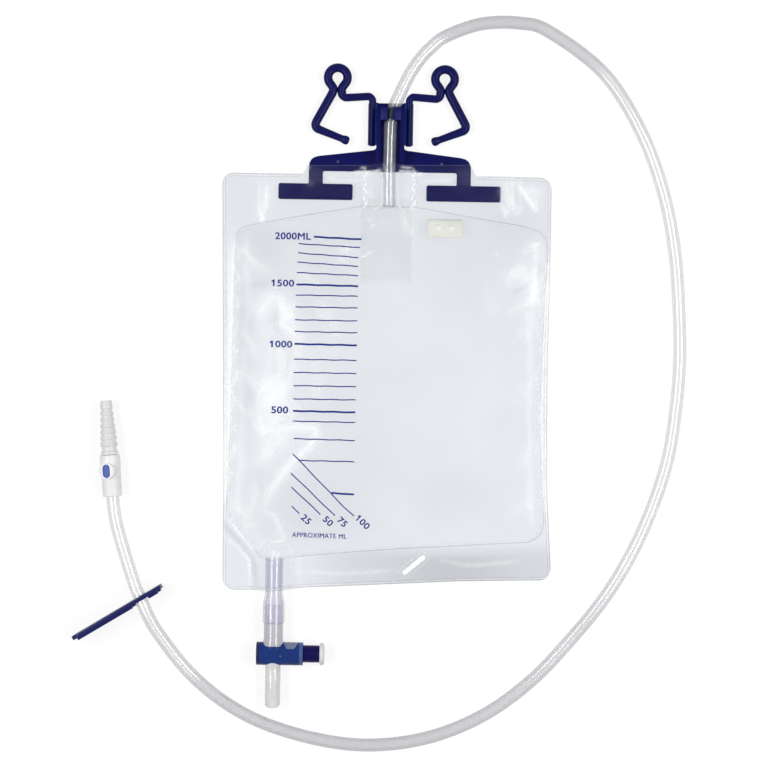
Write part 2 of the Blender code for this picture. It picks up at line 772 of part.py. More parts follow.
def make_hanger(parts, cutters, carrier):
    navy = look("navy polypropylene", (0.011, 0.013, 0.12), 0.35)
    plate = prism(
        parts, "hanger", rounded(hanger_outline(), 4), PLATE, navy, math.radians(30)
    )
    plate.data.transform(Matrix.Translation((0.0, 0.0, INSIDE + PLATE / 2)))
    parent_to(plate, carrier)

    added = []
    finger_foot = TUBE_IN_CHANNEL_Z + TUBE / 2 + TOUCH
    finger_top = finger_foot + FINGER_THICKNESS
    outside, inner = COLUMN_WIDTH / 2, CHANNEL_WIDTH / 2
    channel_top = COLUMN_TOP - LEAD_IN
    for side, name in ((-1, "left"), (1, "right")):
        edges = sorted((side * inner, side * outside))
        wall = box(
            cutters,
            f"channel wall {name}",
            (edges[0], CHANNEL_FOOT, INSIDE + PLATE / 2),
            (edges[1], channel_top, finger_top),
        )
        edges = sorted((side * FINGER_GAP / 2, side * (inner + 0.001)))
        finger = box(
            cutters,
            f"clip finger {name}",
            (edges[0], channel_top - FINGER_LENGTH, finger_foot),
            (edges[1], channel_top - 0.0003, finger_top - 0.0002),
        )
        socket = prism(
            cutters, f"hook socket {name}", socket_section(side), SOCKET_LENGTH
        )
        stand_up(socket)
        socket.data.transform(
            Matrix.Translation(
                (side * HOOK_AXIS, COLUMN_TOP - 0.0002 - SOCKET_LENGTH / 2, HOOK_Z)
            )
        )
        # A web ties the socket to the column over its whole length.
        web_edges = sorted(
            (side * (outside - 0.0006), side * (HOOK_AXIS - SOCKET_RADIUS - 0.0002))
        )
        web = box(
            cutters,
            f"socket web {name}",
            (web_edges[0], COLUMN_TOP - 0.0004 - SOCKET_LENGTH + 0.0006, INSIDE + 0.0001),
            (web_edges[1], COLUMN_TOP - 0.0004, HOOK_Z + 0.0012),
        )
        added += [wall, finger, socket, web]
    for piece in added:
        parent_to(as_cutter(piece), carrier)
        boolean(plate, piece, "UNION")
    return navy


def hook_route():
    """The middle of the hook's rod, from the foot of its leg to its tip, as (x, y)."""
    x, y = 0.0, HOOK_FOOT
    ring = Vector((RING_PLACE[0] - HOOK_AXIS, RING_PLACE[1]))
    neck = HOOK_LOOP_ROD / 2 + NECK_GAP / 2
    route = [(x, y), (x, y + 0.0007), (x, y + 0.0020), (x, y + 0.010), (x, y + 0.020)]
    centre = Vector((HOOK_BEND, HOOK_ARM - HOOK_BEND))
    for k in range(5):
        a = math.radians(180 - 22.5 * k)
        route.append(tuple(centre + HOOK_BEND * Vector((math.cos(a), math.sin(a)))))
    turn = HOOK_TURN
    before = Vector((ring.x - neck - turn, HOOK_ARM - 0.0010 + turn))
    route.append((0.5 * (HOOK_BEND + before.x), HOOK_ARM - 0.0005))
    for k in range(5):
        a = math.radians(-90 + 22.5 * k)
        route.append(tuple(before + turn * Vector((math.cos(a), math.sin(a)))))
    route.append((ring.x - neck, NECK_HEIGHT))
    first = -math.pi / 2 - math.radians(46)
    last = first - (2 * math.pi - 2 * math.radians(46))
    sweep = 20
    for k in range(sweep + 1):
        a = first + (last - first) * k / sweep
        route.append(tuple(ring + RING_RADIUS * Vector((math.cos(a), math.sin(a)))))
    route.append((ring.x + neck, NECK_HEIGHT))
    elbow = Vector((HOOK_ELBOW[0] - HOOK_AXIS, HOOK_ELBOW[1]))
    tip = Vector((HOOK_TIP[0] - HOOK_AXIS, HOOK_TIP[1]))
    start = Vector(route[-1])
    into, out = (start - elbow).normalized(), (tip - elbow).normalized()
    reach = HOOK_ELBOW_REACH
    route.append(tuple(elbow + into * 0.014))
    for k in range(5):
        t = k / 4
        route.append(
            tuple((elbow + into * reach * (1 - t)).lerp(elbow + out * reach * t, t))
        )
    route.append(tuple(elbow.lerp(tip, 0.60)))
    route += [tuple(tip - out * s) for s in (0.0034, 0.0022, 0.0, -0.0018, -0.0026)]
    return route


def make_hooks(parts, carrier, navy):
    route = hook_route()
    loop_share = HOOK_LOOP_ROD / HOOK_ROD
    tip_share = HOOK_TIP_ROD / HOOK_ROD
    bulb = HOOK_BULB / HOOK_ROD
    leg_points = 11  # the leg, the bend at its top and the arm's middle
    widths = [1.0] * leg_points + [loop_share] * (len(route) - leg_points)
    widths[:3] = [0.62, 0.88, 1.0]
    widths[-6:] = [
        0.5 * (loop_share + tip_share),
        tip_share,
        tip_share + 0.08,
        bulb,
        0.85 * bulb,
        0.45 * bulb,
    ]
    for side, name in ((-1, "left_hook"), (1, "right_hook")):
        hook = rod(
            parts,
            name,
            [(side * x, y, 0.0) for x, y in route],
            HOOK_ROD,
            navy,
            3,
            widths,
        )
        hook.location = (side * HOOK_AXIS, 0.0, HOOK_Z)
        parent_to(hook, carrier)


# ---------------------------------------------------------------- outlet and tap
def make_outlet(parts, cutters, carrier):
    clear = look("clear soft PVC", (0.62, 0.62, 0.70), 0.25, 0.6)
    blue = look("blue translucent ABS", (0.012, 0.035, 0.22), 0.25)
    dark = look("dark blue plunger", (0.011, 0.010, 0.11), 0.35)
    white = look("white cap", (0.82, 0.85, 0.98), 0.35)
    rubber = look("grey seal rubber", (0.10, 0.10, 0.11), 0.60)

    # Along Y, with y = 0 on the barrel's axis. The tube is stretched over the spigot.
    outer, wall = OUTLET_TUBE / 2, OUTLET_WALL
    stretched = SPIGOT_INSERT / 2 + TOUCH
    foot = SPIGOT_NECK + TOUCH
    shoulder = foot + SOCKET_OVER_SPIGOT
    top = TAP_BELOW_BAG + OUTLET_IN_BAG
    tube = turned(
        parts,
        "outlet_tube",
        [
            (outer - wall, top),
            (outer, top),
            (outer, shoulder + 0.005),
            (stretched + wall, shoulder),
            (stretched + wall, foot),
            (stretched, foot),
            (stretched, shoulder + 0.0006),
            (outer - wall, shoulder + 0.005),
        ],
        24,
        clear,
        closed=True,
    )
    tube.rotation_euler = (-math.pi / 2, 0.0, 0.0)
    parent_to(tube, carrier)

    body = cylinder(
        parts,
        "tap_body",
        BARREL,
        (-BARREL_LEFT, 0.0, 0.0),
        (BARREL_RIGHT, 0.0, 0.0),
        36,
    )
    body.data.materials.append(blue)
    body.data.shade_smooth()
    body.data.set_sharp_from_angle(angle=math.radians(30))
    parent_to(body, carrier)
    insert_end = foot + SOCKET_OVER_SPIGOT - 0.0010
    spigot = turned(
        cutters,
        "tap spigot",
        [
            (0.0, insert_end),
            (SPIGOT_INSERT / 2 - 0.0008, insert_end),
            (SPIGOT_INSERT / 2, insert_end - 0.0016),
            (SPIGOT_INSERT / 2, SPIGOT_NECK),
            (SPIGOT / 2, SPIGOT_NECK),
            (SPIGOT / 2, BARREL / 2 + 0.0022),
            (BARREL / 2 - 0.0004, BARREL / 2 - 0.0024),
            (BARREL / 2 - 0.0012, 0.0),
            (0.0, 0.0),
        ],
        28,
    )
    spigot.rotation_euler = (-math.pi / 2, 0.0, 0.0)
    nozzle = cylinder(
        cutters, "tap nozzle", NOZZLE, (0.0, 0.0, 0.0), (0.0, -NOZZLE_LENGTH, 0.0), 28
    )
    wall_bore = cylinder(
        cutters,
        "barrel bore",
        BARREL_BORE,
        (-BARREL_LEFT - 0.002, 0.0, 0.0),
        (BARREL_RIGHT + 0.002, 0.0, 0.0),
        36,
    )
    inlet = cylinder(
        cutters, "spigot bore", SPIGOT_BORE, (0.0, 0.001, 0.0), (0.0, insert_end + 0.002, 0.0), 24
    )
    outlet = cylinder(
        cutters,
        "nozzle bore",
        NOZZLE_BORE,
        (0.0, -0.001, 0.0),
        (0.0, -NOZZLE_LENGTH - 0.003, 0.0),
        24,
    )
    # The mouth is cut on a slant, so that its upper side is the shorter one.
    slant = math.atan2(NOZZLE_SLANT, NOZZLE)
    mouth = box(
        cutters, "nozzle mouth cut", (-0.010, -0.020, -0.012), (0.010, 0.0, 0.012)
    )
    mouth.rotation_euler = (slant, 0.0, 0.0)
    mouth.location = (0.0, -NOZZLE_LENGTH + NOZZLE_SLANT / 2, 0.0)
    for piece, operation in (
        (spigot, "UNION"),
        (nozzle, "UNION"),
        (wall_bore, "DIFFERENCE"),
        (inlet, "DIFFERENCE"),
        (outlet, "DIFFERENCE"),
        (mouth, "DIFFERENCE"),
    ):
        parent_to(as_cutter(piece), carrier)
        boolean(body, piece, operation)

    make_spool(parts, carrier, dark, white, rubber)


def make_spool(parts, carrier, dark, white, rubber):
    """The plunger, its three seal rings and its cap, turned along X."""
    radius = PLUNGER / 2
    stroke = PLUNGER_OUT - PUSH_STOP
    left, right = -BARREL_LEFT, BARREL_RIGHT + PLUNGER_OUT
    seal_gap = SPIGOT_BORE / 2 + SEAL_FROM_BORE
    seals = (-seal_gap, seal_gap, stroke + seal_gap)
    groove = SEAL_SECTION / 2 + TOUCH
    floor = radius - SEAL_SECTION - TOUCH + 0.0001
    waist = (stroke - SPIGOT_BORE / 2, stroke + SPIGOT_BORE / 2)
    profile = [
        (0.0, right + CAP_PIN_DEPTH),
        (CAP_PIN / 2, right + CAP_PIN_DEPTH),
        (CAP_PIN / 2, right),
        (radius, right),
        (radius, seals[2] + groove),
        (floor, seals[2] + groove),
        (floor, seals[2] - groove),
        (radius, seals[2] - groove),
        (radius, waist[1]),
        (radius * 0.45, waist[1] - 0.0012),
        (radius * 0.45, seals[1] + groove + 0.0018),
        (radius, seals[1] + groove + 0.0007),
        (radius, seals[1] + groove),
        (floor, seals[1] + groove),
        (floor, seals[1] - groove),
        (radius, seals[1] - groove),
        (radius, seals[0] + groove),
        (floor, seals[0] + groove),
        (floor, seals[0] - groove),
        (radius, seals[0] - groove),
        (radius, left + 0.0006),
        (radius - 0.0006, left),
        (0.0, left),
    ]
    spool = turned(parts, "tap_plunger", profile, 24, dark)
    spool.rotation_euler = (0.0, math.pi / 2, 0.0)
    parent_to(spool, carrier)

    ring_middle = radius + 0.0001 - SEAL_SECTION / 2
    for name, place in zip(("inner_seal", "middle_seal", "outer_seal"), seals):
        bpy.ops.mesh.primitive_torus_add(
            major_segments=24,
            minor_segments=6,
            major_radius=ring_middle,
            minor_radius=SEAL_SECTION / 2,
        )
        ring = bpy.context.object
        for group in list(ring.users_collection):
            group.objects.unlink(ring)
        parts.objects.link(ring)
        ring.name = ring.data.name = name
        ring.data.materials.append(rubber)
        ring.data.shade_smooth()
        ring.rotation_euler = (0.0, math.pi / 2, 0.0)
        ring.location = (place, 0.0, 0.0)
        parent_to(ring, carrier)

    low = right + TOUCH
    cap = turned(
        parts,
        "plunger_cap",
        [
            (0.0, low + CAP_THICKNESS),
            (CAP / 2 - 0.0010, low + CAP_THICKNESS),
            (CAP / 2, low + CAP_THICKNESS - 0.0010),
            (CAP / 2, low + 0.0005),
            (CAP / 2 - 0.0005, low),
            (CAP_PIN / 2 + TOUCH, low),
            (CAP_PIN / 2 + TOUCH, low + CAP_PIN_DEPTH),
            (0.0, low + CAP_PIN_DEPTH),
        ],
        24,
        white,
    )
    cap.rotation_euler = (0.0, math.pi / 2, 0.0)
    parent_to(cap, carrier)


# ---------------------------------------------------------------- connector and port
def connector_frame(group):
    """Its own Z runs from the body's foot to the tip, and its own X out of the port."""
    along = Vector((-math.sin(CONNECTOR_TURN), math.cos(CONNECTOR_TURN), 0.0))
    level = along.cross(Vector((0.0, 0.0, 1.0)))
    port = Vector((0.0, 0.0, 1.0)) * math.cos(PORT_ROLL) - level * math.sin(PORT_ROLL)
    side = along.cross(port)
    turn = Matrix((port, side, along)).transposed().to_4x4()
    carrier = bpy.data.objects.new("connector frame", None)
    carrier.matrix_world = Matrix.Translation((*CONNECTOR_FOOT, CONNECTOR_Z)) @ turn
    group.objects.link(carrier)
    return carrier


def make_connector(parts, cutters, carrier):
    white = look("white ABS", (0.78, 0.79, 0.78), 0.35)
    ivory = look("white port body", (0.76, 0.78, 0.77), 0.40)
    septum_blue = look("blue septum rubber", (0.03, 0.09, 0.42), 0.45)

    # The barbs grow from the tip to the foot, each with its sharp edge to the foot.
    foot = BODY_LENGTH + TOUCH
    spigot_foot = BODY_LENGTH - SPIGOT_SOCKET + TOUCH
    profile = [(TIP_BORE / 2, CONNECTOR_LENGTH), (TIP / 2, CONNECTOR_LENGTH)]
    for k in range(BARBS - 1, -1, -1):
        share = k / (BARBS - 1)
        crest = (BARB_AT_FOOT + (BARB_AT_TIP - BARB_AT_FOOT) * share) / 2
        place = FIRST_BARB + k * BARB_PITCH
        root = crest - BARB_STEP * (1 - 0.3 * share)
        profile += [
            (crest, place + 0.0005),
            (crest, place),
            (root, place - 0.0007),
        ]
    profile += [
        (NECK / 2, foot + 0.0030),
        (COLLAR / 2, foot + 0.0018),
        (COLLAR / 2, foot),
        (CONNECTOR_SPIGOT / 2, foot),
        (CONNECTOR_SPIGOT / 2, spigot_foot),
        (TIP_BORE / 2, spigot_foot),
    ]
    stepped = turned(parts, "stepped_connector", profile, 24, white, closed=True)
    parent_to(stepped, carrier)

    bore = TUBE / 2 + 0.0004
    body = turned(
        parts,
        "port_body",
        [
            (CONNECTOR_SPIGOT / 2 + TOUCH, BODY_LENGTH),
            (BODY_TOP / 2 - 0.0006, BODY_LENGTH),
            (BODY_TOP / 2, BODY_LENGTH - 0.0006),
            (BODY_FOOT / 2, 0.0006),
            (BODY_FOOT / 2 - 0.0006, 0.0),
            (bore, 0.0),
            (bore, TUBE_SOCKET),
            (CHAMBER_BORE / 2, TUBE_SOCKET),
            (CHAMBER_BORE / 2, BODY_LENGTH - SPIGOT_SOCKET),
            (CONNECTOR_SPIGOT / 2 + TOUCH, BODY_LENGTH - SPIGOT_SOCKET),
        ],
        32,
        ivory,
        closed=True,
    )
    parent_to(body, carrier)
    boss_top = BODY_TOP / 2 + PORT_BOSS_RISE
    boss = cylinder(
        cutters,
        "port boss",
        PORT_BOSS,
        (CHAMBER_BORE / 2 + 0.0008, 0.0, PORT_HEIGHT),
        (boss_top, 0.0, PORT_HEIGHT),
        28,
    )
    floor = boss_top + SEPTUM_RISE - SEPTUM_DEPTH

    def stadium(length, width, name, low, high, group, material=None):
        end, straight = width / 2, (length - width) / 2
        outline = [
            (
                side * straight + end * math.cos(math.radians(a)),
                end * math.sin(math.radians(a)),
            )
            for side, first in ((1, -90), (-1, 90))
            for a in range(first, first + 181, 20)
        ]
        thing = prism(group, name, outline, high - low, material, math.radians(30))
        thing.data.transform(
            Matrix.Translation(((low + high) / 2, 0.0, PORT_HEIGHT))
            @ Matrix.Rotation(-math.pi / 2, 4, "Y")
        )
        parent_to(thing, carrier)
        return thing

    recess = stadium(
        SEPTUM_LENGTH + 2 * TOUCH,
        SEPTUM_WIDTH + 2 * TOUCH,
        "septum recess",
        floor - TOUCH,
        boss_top + 0.003,
        cutters,
    )
    sample_way = cylinder(
        cutters,
        "sampling bore",
        0.0024,
        (0.0, 0.0, PORT_HEIGHT),
        (floor, 0.0, PORT_HEIGHT),
        16,
    )
    spigot_socket = cylinder(
        cutters,
        "connector spigot socket",
        CONNECTOR_SPIGOT + 2 * TOUCH,
        (0.0, 0.0, BODY_LENGTH - SPIGOT_SOCKET),
        (0.0, 0.0, BODY_LENGTH + 0.001),
    )
    for piece, operation in (
        (boss, "UNION"),
        (spigot_socket, "DIFFERENCE"),
        (recess, "DIFFERENCE"),
        (sample_way, "DIFFERENCE"),
    ):
        parent_to(as_cutter(piece), carrier)
        boolean(body, piece, operation)
    septum = stadium(
        SEPTUM_LENGTH,
        SEPTUM_WIDTH,
        "port_septum",
        floor,
        boss_top + SEPTUM_RISE,
        parts,
        septum_blue,
    )
    bevel(septum, 0.0004, 1)


# ---------------------------------------------------------------- slide clamp
def make_clamp(parts, cutters):
    navy = look("navy clamp", (0.018, 0.020, 0.14), 0.35)
    left = -(CLAMP_LENGTH - CLAMP_HOLE_FROM_END)
    right = CLAMP_HOLE_FROM_END
    half = CLAMP_HEIGHT / 2
    outline = rounded(
        [
            (left, -half, CLAMP_CORNER),
            (right, -half, CLAMP_CORNER),
            (right, half, CLAMP_CORNER),
            (left, half, CLAMP_CORNER),
        ],
        5,
    )
    plate = prism(parts, "slide_clamp", outline, CLAMP_PLATE, navy, math.radians(30))
    stand_up(plate)
    plate.location = (*CLAMP_HOLE_PLACE, CLAMP_Z)
    plate.rotation_euler = (0.0, 0.0, CLAMP_TURN)

    # The rims stand on one face and leave the hole's flexible part free.
    flex = CLAMP_HOLE * 0.62
    inset = CLAMP_RIM_WIDTH
    face = -CLAMP_PLATE / 2 - CLAMP_RIM
    rims = []
    for name, first, last in (
        ("long", left + 0.001, -flex),
        ("short", flex, right - CLAMP_CORNER * 0.5),
    ):
        for level, low, high in (
            ("upper", half - inset, half - 0.0001),
            ("lower", -half + 0.0001, -half + inset),
        ):
            start = first + (CLAMP_CORNER * 0.5 if name == "long" else 0.0)
            rims.append(
                box(
                    cutters,
                    f"{name} {level} rim",
                    (start, face, low),
                    (last, 0.0, high),
                )
            )
    wide, narrow = CLAMP_HOLE / 2, CLAMP_PINCH / 2
    touch = math.radians(48)
    keyhole = [
        (wide * math.cos(a), wide * math.sin(a))
        for a in [
            math.pi - touch - (2 * math.pi - 2 * touch) * k / 20 for k in range(21)
        ]
    ]
    end = -CLAMP_TRAVEL - narrow
    keyhole += [(-wide - CLAMP_THROAT, -narrow)]
    keyhole += [
        (end + narrow * math.cos(a), narrow * math.sin(a))
        for a in [math.radians(-90 - 30 * k) for k in range(7)]
    ]
    keyhole += [(-wide - CLAMP_THROAT, narrow)]
    hole = prism(cutters, "clamp keyhole", keyhole, 0.02)
    stand_up(hole)
    for piece in rims:
        parent_to(as_cutter(piece), plate)
        boolean(plate, piece, "UNION")
    parent_to(as_cutter(hole), plate)
    boolean(plate, hole, "DIFFERENCE")


# ---------------------------------------------------------------- drain tube
def tube_route():
    """The middle of the tube: from the flap valve, round the bag, to the connector."""
    floor = TUBE / 2
    channel = TUBE_IN_CHANNEL_Z
    inside = [
        (TUBE_MIDDLE, y, tube_height(y))
        for y in (TUBE_END, TUBE_END + 0.010, TUBE_END + 0.020, HANGER_FOOT)
    ]
    over_hanger = [
        (0.0019, 0.1620, channel),
        (0.0023, 0.1770, channel),
        (0.0030, 0.1850, channel),
        (0.0046, 0.1925, channel),
        (0.0064, 0.1972, 0.0075),
        (0.0113, 0.2076, 0.0069),
        (0.0163, 0.2173, 0.0061),
        (0.0224, 0.2265, 0.0053),
        (0.0294, 0.2344, 0.0047),
    ]
    loop = [
        (0.0413, 0.2437),
        (0.0661, 0.2523),
        (0.0931, 0.2529),
        (0.1136, 0.2468),
        (0.1516, 0.2179),
        (0.1774, 0.1777),
        (0.1932, 0.1351),
        (0.2013, 0.0933),
        (0.2042, 0.0541),
        (0.2048, 0.0175),
        (0.2020, -0.0178),
        (0.1964, -0.0522),
        (0.1858, -0.0855),
        (0.1713, -0.1179),
        (0.1524, -0.1490),
        (0.1287, -0.1781),
        (0.1012, -0.2069),
        (0.0673, -0.2314),
        (0.0277, -0.2472),
        (-0.0153, -0.2522),
        (-0.0582, -0.2459),
        (-0.0991, -0.2309),
        (-0.1341, -0.2056),
    ]
    along = Vector((-math.sin(CONNECTOR_TURN), math.cos(CONNECTOR_TURN), 0.0))
    foot = Vector((*CONNECTOR_FOOT, CONNECTOR_Z))
    clamp = Vector((*CLAMP_HOLE_PLACE, CLAMP_Z))
    climb = [
        (-0.1605, -0.1720, 0.5 * (floor + CLAMP_Z) + 0.0016),
        clamp,
        (-0.1777, -0.1344, CLAMP_Z - 0.0005),
        (-0.1884, -0.0985, 0.5 * (CLAMP_Z + CONNECTOR_Z)),
    ]
    into_body = [
        foot + along * 0.0005,
        foot + along * (TUBE_SOCKET - TOUCH),
    ]
    return (
        inside
        + over_hanger
        + [(x, y, floor) for x, y in loop]
        + climb
        + into_body
    )


def make_tube(parts):
    clear = look("clear PVC tube", (0.80, 0.80, 0.83), 0.15, 0.5)
    # Closer together in the hanger, where the tube climbs and bends.
    points = smooth_path(tube_route(), 0.65 * TUBE)
    in_hanger = 18
    points = points[:in_hanger] + points[in_hanger:-1:3] + points[-1:]
    for point in points:
        point.z = max(point.z, TUBE / 2)
    rod(parts, "drain_tube", points, TUBE, clear, 2)


def main():
    clear_scene()
    parts = new_collection("urine drainage bag")
    cutters = new_collection("cutters")

    make_bag(parts, cutters)
    hanger_frame = anchor(
        parts, "hanger frame", (HANGER_MIDDLE, HANGER_FOOT, 0.0), HANGER_LEAN
    )
    navy = make_hanger(parts, cutters, hanger_frame)
    make_hooks(parts, hanger_frame, navy)
    lean = math.tan(-OUTLET_LEAN)
    outlet_frame = anchor(
        parts,
        "outlet frame",
        (
            OUTLET_MIDDLE - lean * TAP_BELOW_BAG,
            OUTLET_EDGE - TAP_BELOW_BAG,
            BARREL_Z,
        ),
        OUTLET_LEAN,
    )
    make_outlet(parts, cutters, outlet_frame)
    make_connector(parts, cutters, connector_frame(parts))
    make_clamp(parts, cutters)
    make_tube(parts)
    for group in (parts, cutters):
        for thing in group.objects:
            thing.select_set(False)
    bpy.context.view_layer.update()


main()
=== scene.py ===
"""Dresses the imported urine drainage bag: clear films, drain tube, hanger, tap and connector.

Everything is in metres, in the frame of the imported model: +Z up, +Y to the hanger,
the bag lying on its back on z = 0.
"""

import math
from contextlib import contextmanager

import bmesh
import bpy
import numpy as np
from bpy.props import FloatProperty, FloatVectorProperty, IntProperty, PointerProperty
from mathutils import Matrix, Vector
from mathutils.bvhtree import BVHTree
from mathutils.kdtree import KDTree


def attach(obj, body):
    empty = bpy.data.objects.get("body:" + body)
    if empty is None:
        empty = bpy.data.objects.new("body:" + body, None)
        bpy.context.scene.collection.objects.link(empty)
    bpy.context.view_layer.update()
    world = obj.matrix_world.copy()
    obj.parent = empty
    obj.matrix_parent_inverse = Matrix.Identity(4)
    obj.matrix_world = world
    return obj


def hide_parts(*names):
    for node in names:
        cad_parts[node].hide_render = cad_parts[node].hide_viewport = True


bl_info = {
    "name": "Urine drainage bag",
    "version": (1, 0, 0),
    "blender": (4, 5, 0),
    "location": "3D View > Sidebar > Drainage bag",
    "description": "Films, tube, hanger, tap, connector and clamp of a drainage bag",
    "category": "Object",
}

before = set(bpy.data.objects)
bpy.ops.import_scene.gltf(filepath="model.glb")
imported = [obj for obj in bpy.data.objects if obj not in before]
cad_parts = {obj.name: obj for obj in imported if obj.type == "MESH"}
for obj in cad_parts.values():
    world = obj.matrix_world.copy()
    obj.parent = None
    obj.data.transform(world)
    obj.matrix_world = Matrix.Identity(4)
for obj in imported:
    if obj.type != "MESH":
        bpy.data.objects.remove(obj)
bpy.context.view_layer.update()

# ---------------------------------------------------------------- sizes of the bag
PITCH = 0.0007  # one grid step of the drawing that outlines, folds and print are laid on
TOUCH = 0.0003  # between two pieces that touch
FILM = 0.00035
VALVE_FILM = 0.00025
BAG_HALF = 0.1155  # from the middle to a side
CORNER = 0.0080
BAG_BOTTOM = -0.1429
BAG_TOP = 0.1488
TAB_TOP = 0.1537
BAG_SIZE = (0.231, 0.2966)  # one film, spread out flat
BAG_AREA = 0.0672
TUBE = 0.0090
TUBE_MIDDLE = 0.0014
TUBE_END = 0.1240
VALVE_MIDDLE = -0.0007
VALVE_WIDTH = 0.0350
VALVE_TOP = 0.1300
VALVE_BOTTOM = 0.0740
HANGER_LEAN = math.radians(-0.95)
HANGER_MIDDLE = 0.0020
HANGER_FOOT = 0.1490
PLATE = 0.0022
INSIDE = FILM + TOUCH
PLATE_TOP = INSIDE + PLATE
OUTLET_LEAN = math.radians(-0.85)
OUTLET_MIDDLE = -0.0788
OUTLET_EDGE = -0.141914
OUTLET_TOP = -0.121214
OUTLET_TUBE = 0.0124
BARREL_Z = 0.0081
TAP_PLACE = (-0.079477, -0.187514, 0.0081)
HOOK_AXIS = 0.01285
HOOK_Z = 0.0043
HOOK_ROD = 0.0052
HOOK_LOOP_ROD = 0.0062
CONNECTOR_FOOT = (-0.1916, -0.0780, 0.0072)
CONNECTOR_TURN = math.radians(3.94)
PORT_ROLL = math.radians(12)
CLAMP_HOLE = (-0.1719, -0.1489, 0.0095)
SMOOTH = 4.0  # a shading angle at which no edge is sharp
MOULDED_EDGE = math.radians(40)  # and one that keeps the edges of a turned piece


def at(column, row):
    """A place on the bag from its place on the drawing grid."""
    return ((column - 387.0) * PITCH, (384.6 - row) * PITCH)


def places(grid):
    return [at(*p) for p in grid]


# ---------------------------------------------------------------- settings
def colour(name, text, value):
    return FloatVectorProperty(
        name=name, description=text, subtype="COLOR", size=3, min=0.0, max=1.0, default=value
    )


def number(name, text, value, low=0.0, high=1e6, unit="NONE"):
    return FloatProperty(name=name, description=text, default=value, min=low, max=high, unit=unit)


def length(name, text, value, low=0.0):
    return number(name, text, value, low, unit="LENGTH")


class StageSettings(bpy.types.PropertyGroup):
    floor_colour: colour("Floor colour", "Colour of the floor", (0.80, 0.80, 0.80))
    camera_height: length("Camera height", "Height of the camera above the floor", 1.2733, 0.3)
    lens: number("Lens", "Focal length in millimetres", 85.0, 20.0)
    side_power: number("Side lamps", "Power of the softboxes at the left and the right", 10.7, unit="POWER")
    sky: number("Sky", "Strength of the even light from all sides", 0.18, high=2.0)


class FilmSettings(bpy.types.PropertyGroup):
    tint: colour("Film tint", "What one face of the film lets through", (0.9495, 0.9565, 0.9690))
    haze: number("Haze", "Milky share of the film", 0.001, high=1.0)
    gloss: number("Gloss", "Share of the light that the film mirrors", 0.005, high=1.0)
    pitch: length("Mesh pitch", "Distance between the film's grid lines", 0.0015, 0.0008)
    pillow: length("Pillow", "How far the front film stands off in the middle", 0.0080)
    pucker: length("Pucker", "Height of the puckers along the side welds", 0.0006)
    print_colour: colour("Print colour", "Ink of the graduations", (0.020, 0.033, 0.215))


class TubeSettings(bpy.types.PropertyGroup):
    diameter: length("Outside diameter", "Outside diameter of the drain tube", TUBE, 0.002)
    bore: length("Bore", "Inside diameter of the drain tube", 0.0062, 0.001)
    sides: IntProperty(name="Sides", description="Flat sides round the tube", default=44, min=8)
    tint: colour("Tube tint", "Colour of the tube's wall", (0.27, 0.27, 0.31))


class MouldingSettings(bpy.types.PropertyGroup):
    navy: colour("Navy plastic", "Colour of the hanger and the hooks", (0.0040, 0.0050, 0.088))
    clamp: colour("Clamp plastic", "Colour of the slide clamp", (0.013, 0.016, 0.110))
    barrel: colour("Tap barrel", "Colour of the tap's barrel", (0.010, 0.036, 0.190))
    plunger: colour("Plunger", "Colour of the tap's plunger", (0.005, 0.003, 0.078))
    white: colour("White plastic", "Colour of the connector", (0.77, 0.78, 0.785))
    septum: colour("Septum", "Colour of the sampling port's rubber", (0.025, 0.080, 0.38))
    edge: length("Edge radius", "Rounding of the mouldings' edges", 0.00035)


def settings(name):
    return getattr(bpy.context.scene, f"drainage_{name}")


# ---------------------------------------------------------------- objects
def linked(name, data):
    """A new object in the scene."""
    thing = bpy.data.objects.new(name, data)
    bpy.context.scene.collection.objects.link(thing)
    return thing


def add_piece(name, mesh, body, finishes, replaced=(), smooth=None):
    """Puts a finished mesh in the scene, on its body, with its materials."""
    piece = linked(name, mesh)
    if finishes:
        mesh.materials.clear()
        for finish in finishes:
            mesh.materials.append(finish)
    if smooth is not None:
        mesh.shade_smooth()
        if smooth < math.pi:
            mesh.set_sharp_from_angle(angle=smooth)
    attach(piece, body)
    if replaced:
        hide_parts(*replaced)
    return piece


def mesh_from(name, points, faces):
    mesh = bpy.data.meshes.new(name)
    mesh.from_pydata([tuple(map(float, p)) for p in points], [], faces)
    mesh.update()
    return mesh


def grid_mesh(name, x, y, z, kept=...):
    """A mesh through a grid of points, with the faces that are kept."""
    index = np.arange(x.size).reshape(x.shape)
    quads = np.stack([index[:-1, :-1], index[:-1, 1:], index[1:, 1:], index[1:, :-1]], -1)[kept]
    return mesh_from(name, np.stack([x.ravel(), y.ravel(), z.ravel()], 1), quads.reshape(-1, 4).tolist())


@contextmanager
def edited(mesh):
    """The mesh as a bmesh, which is written back at the end."""
    shape = bmesh.new()
    shape.from_mesh(mesh)
    yield shape
    shape.to_mesh(mesh)
    shape.free()


def evaluated_mesh(holder):
    """A plain mesh of an object, with its modifiers applied."""
    bpy.context.view_layer.update()
    depsgraph = bpy.context.evaluated_depsgraph_get()
    return bpy.data.meshes.new_from_object(
        holder.evaluated_get(depsgraph), preserve_all_data_layers=True, depsgraph=depsgraph
    )


def apply_modifiers(piece):
    """Bakes the piece's modifiers into its own mesh."""
    mesh, old = evaluated_mesh(piece), piece.data
    piece.modifiers.clear()
    piece.data = mesh
    bpy.data.meshes.remove(old)


def tidy_normals(mesh):
    with edited(mesh) as shape:
        bmesh.ops.remove_doubles(shape, verts=shape.verts, dist=0.00001)
        bmesh.ops.recalc_face_normals(shape, faces=shape.faces)


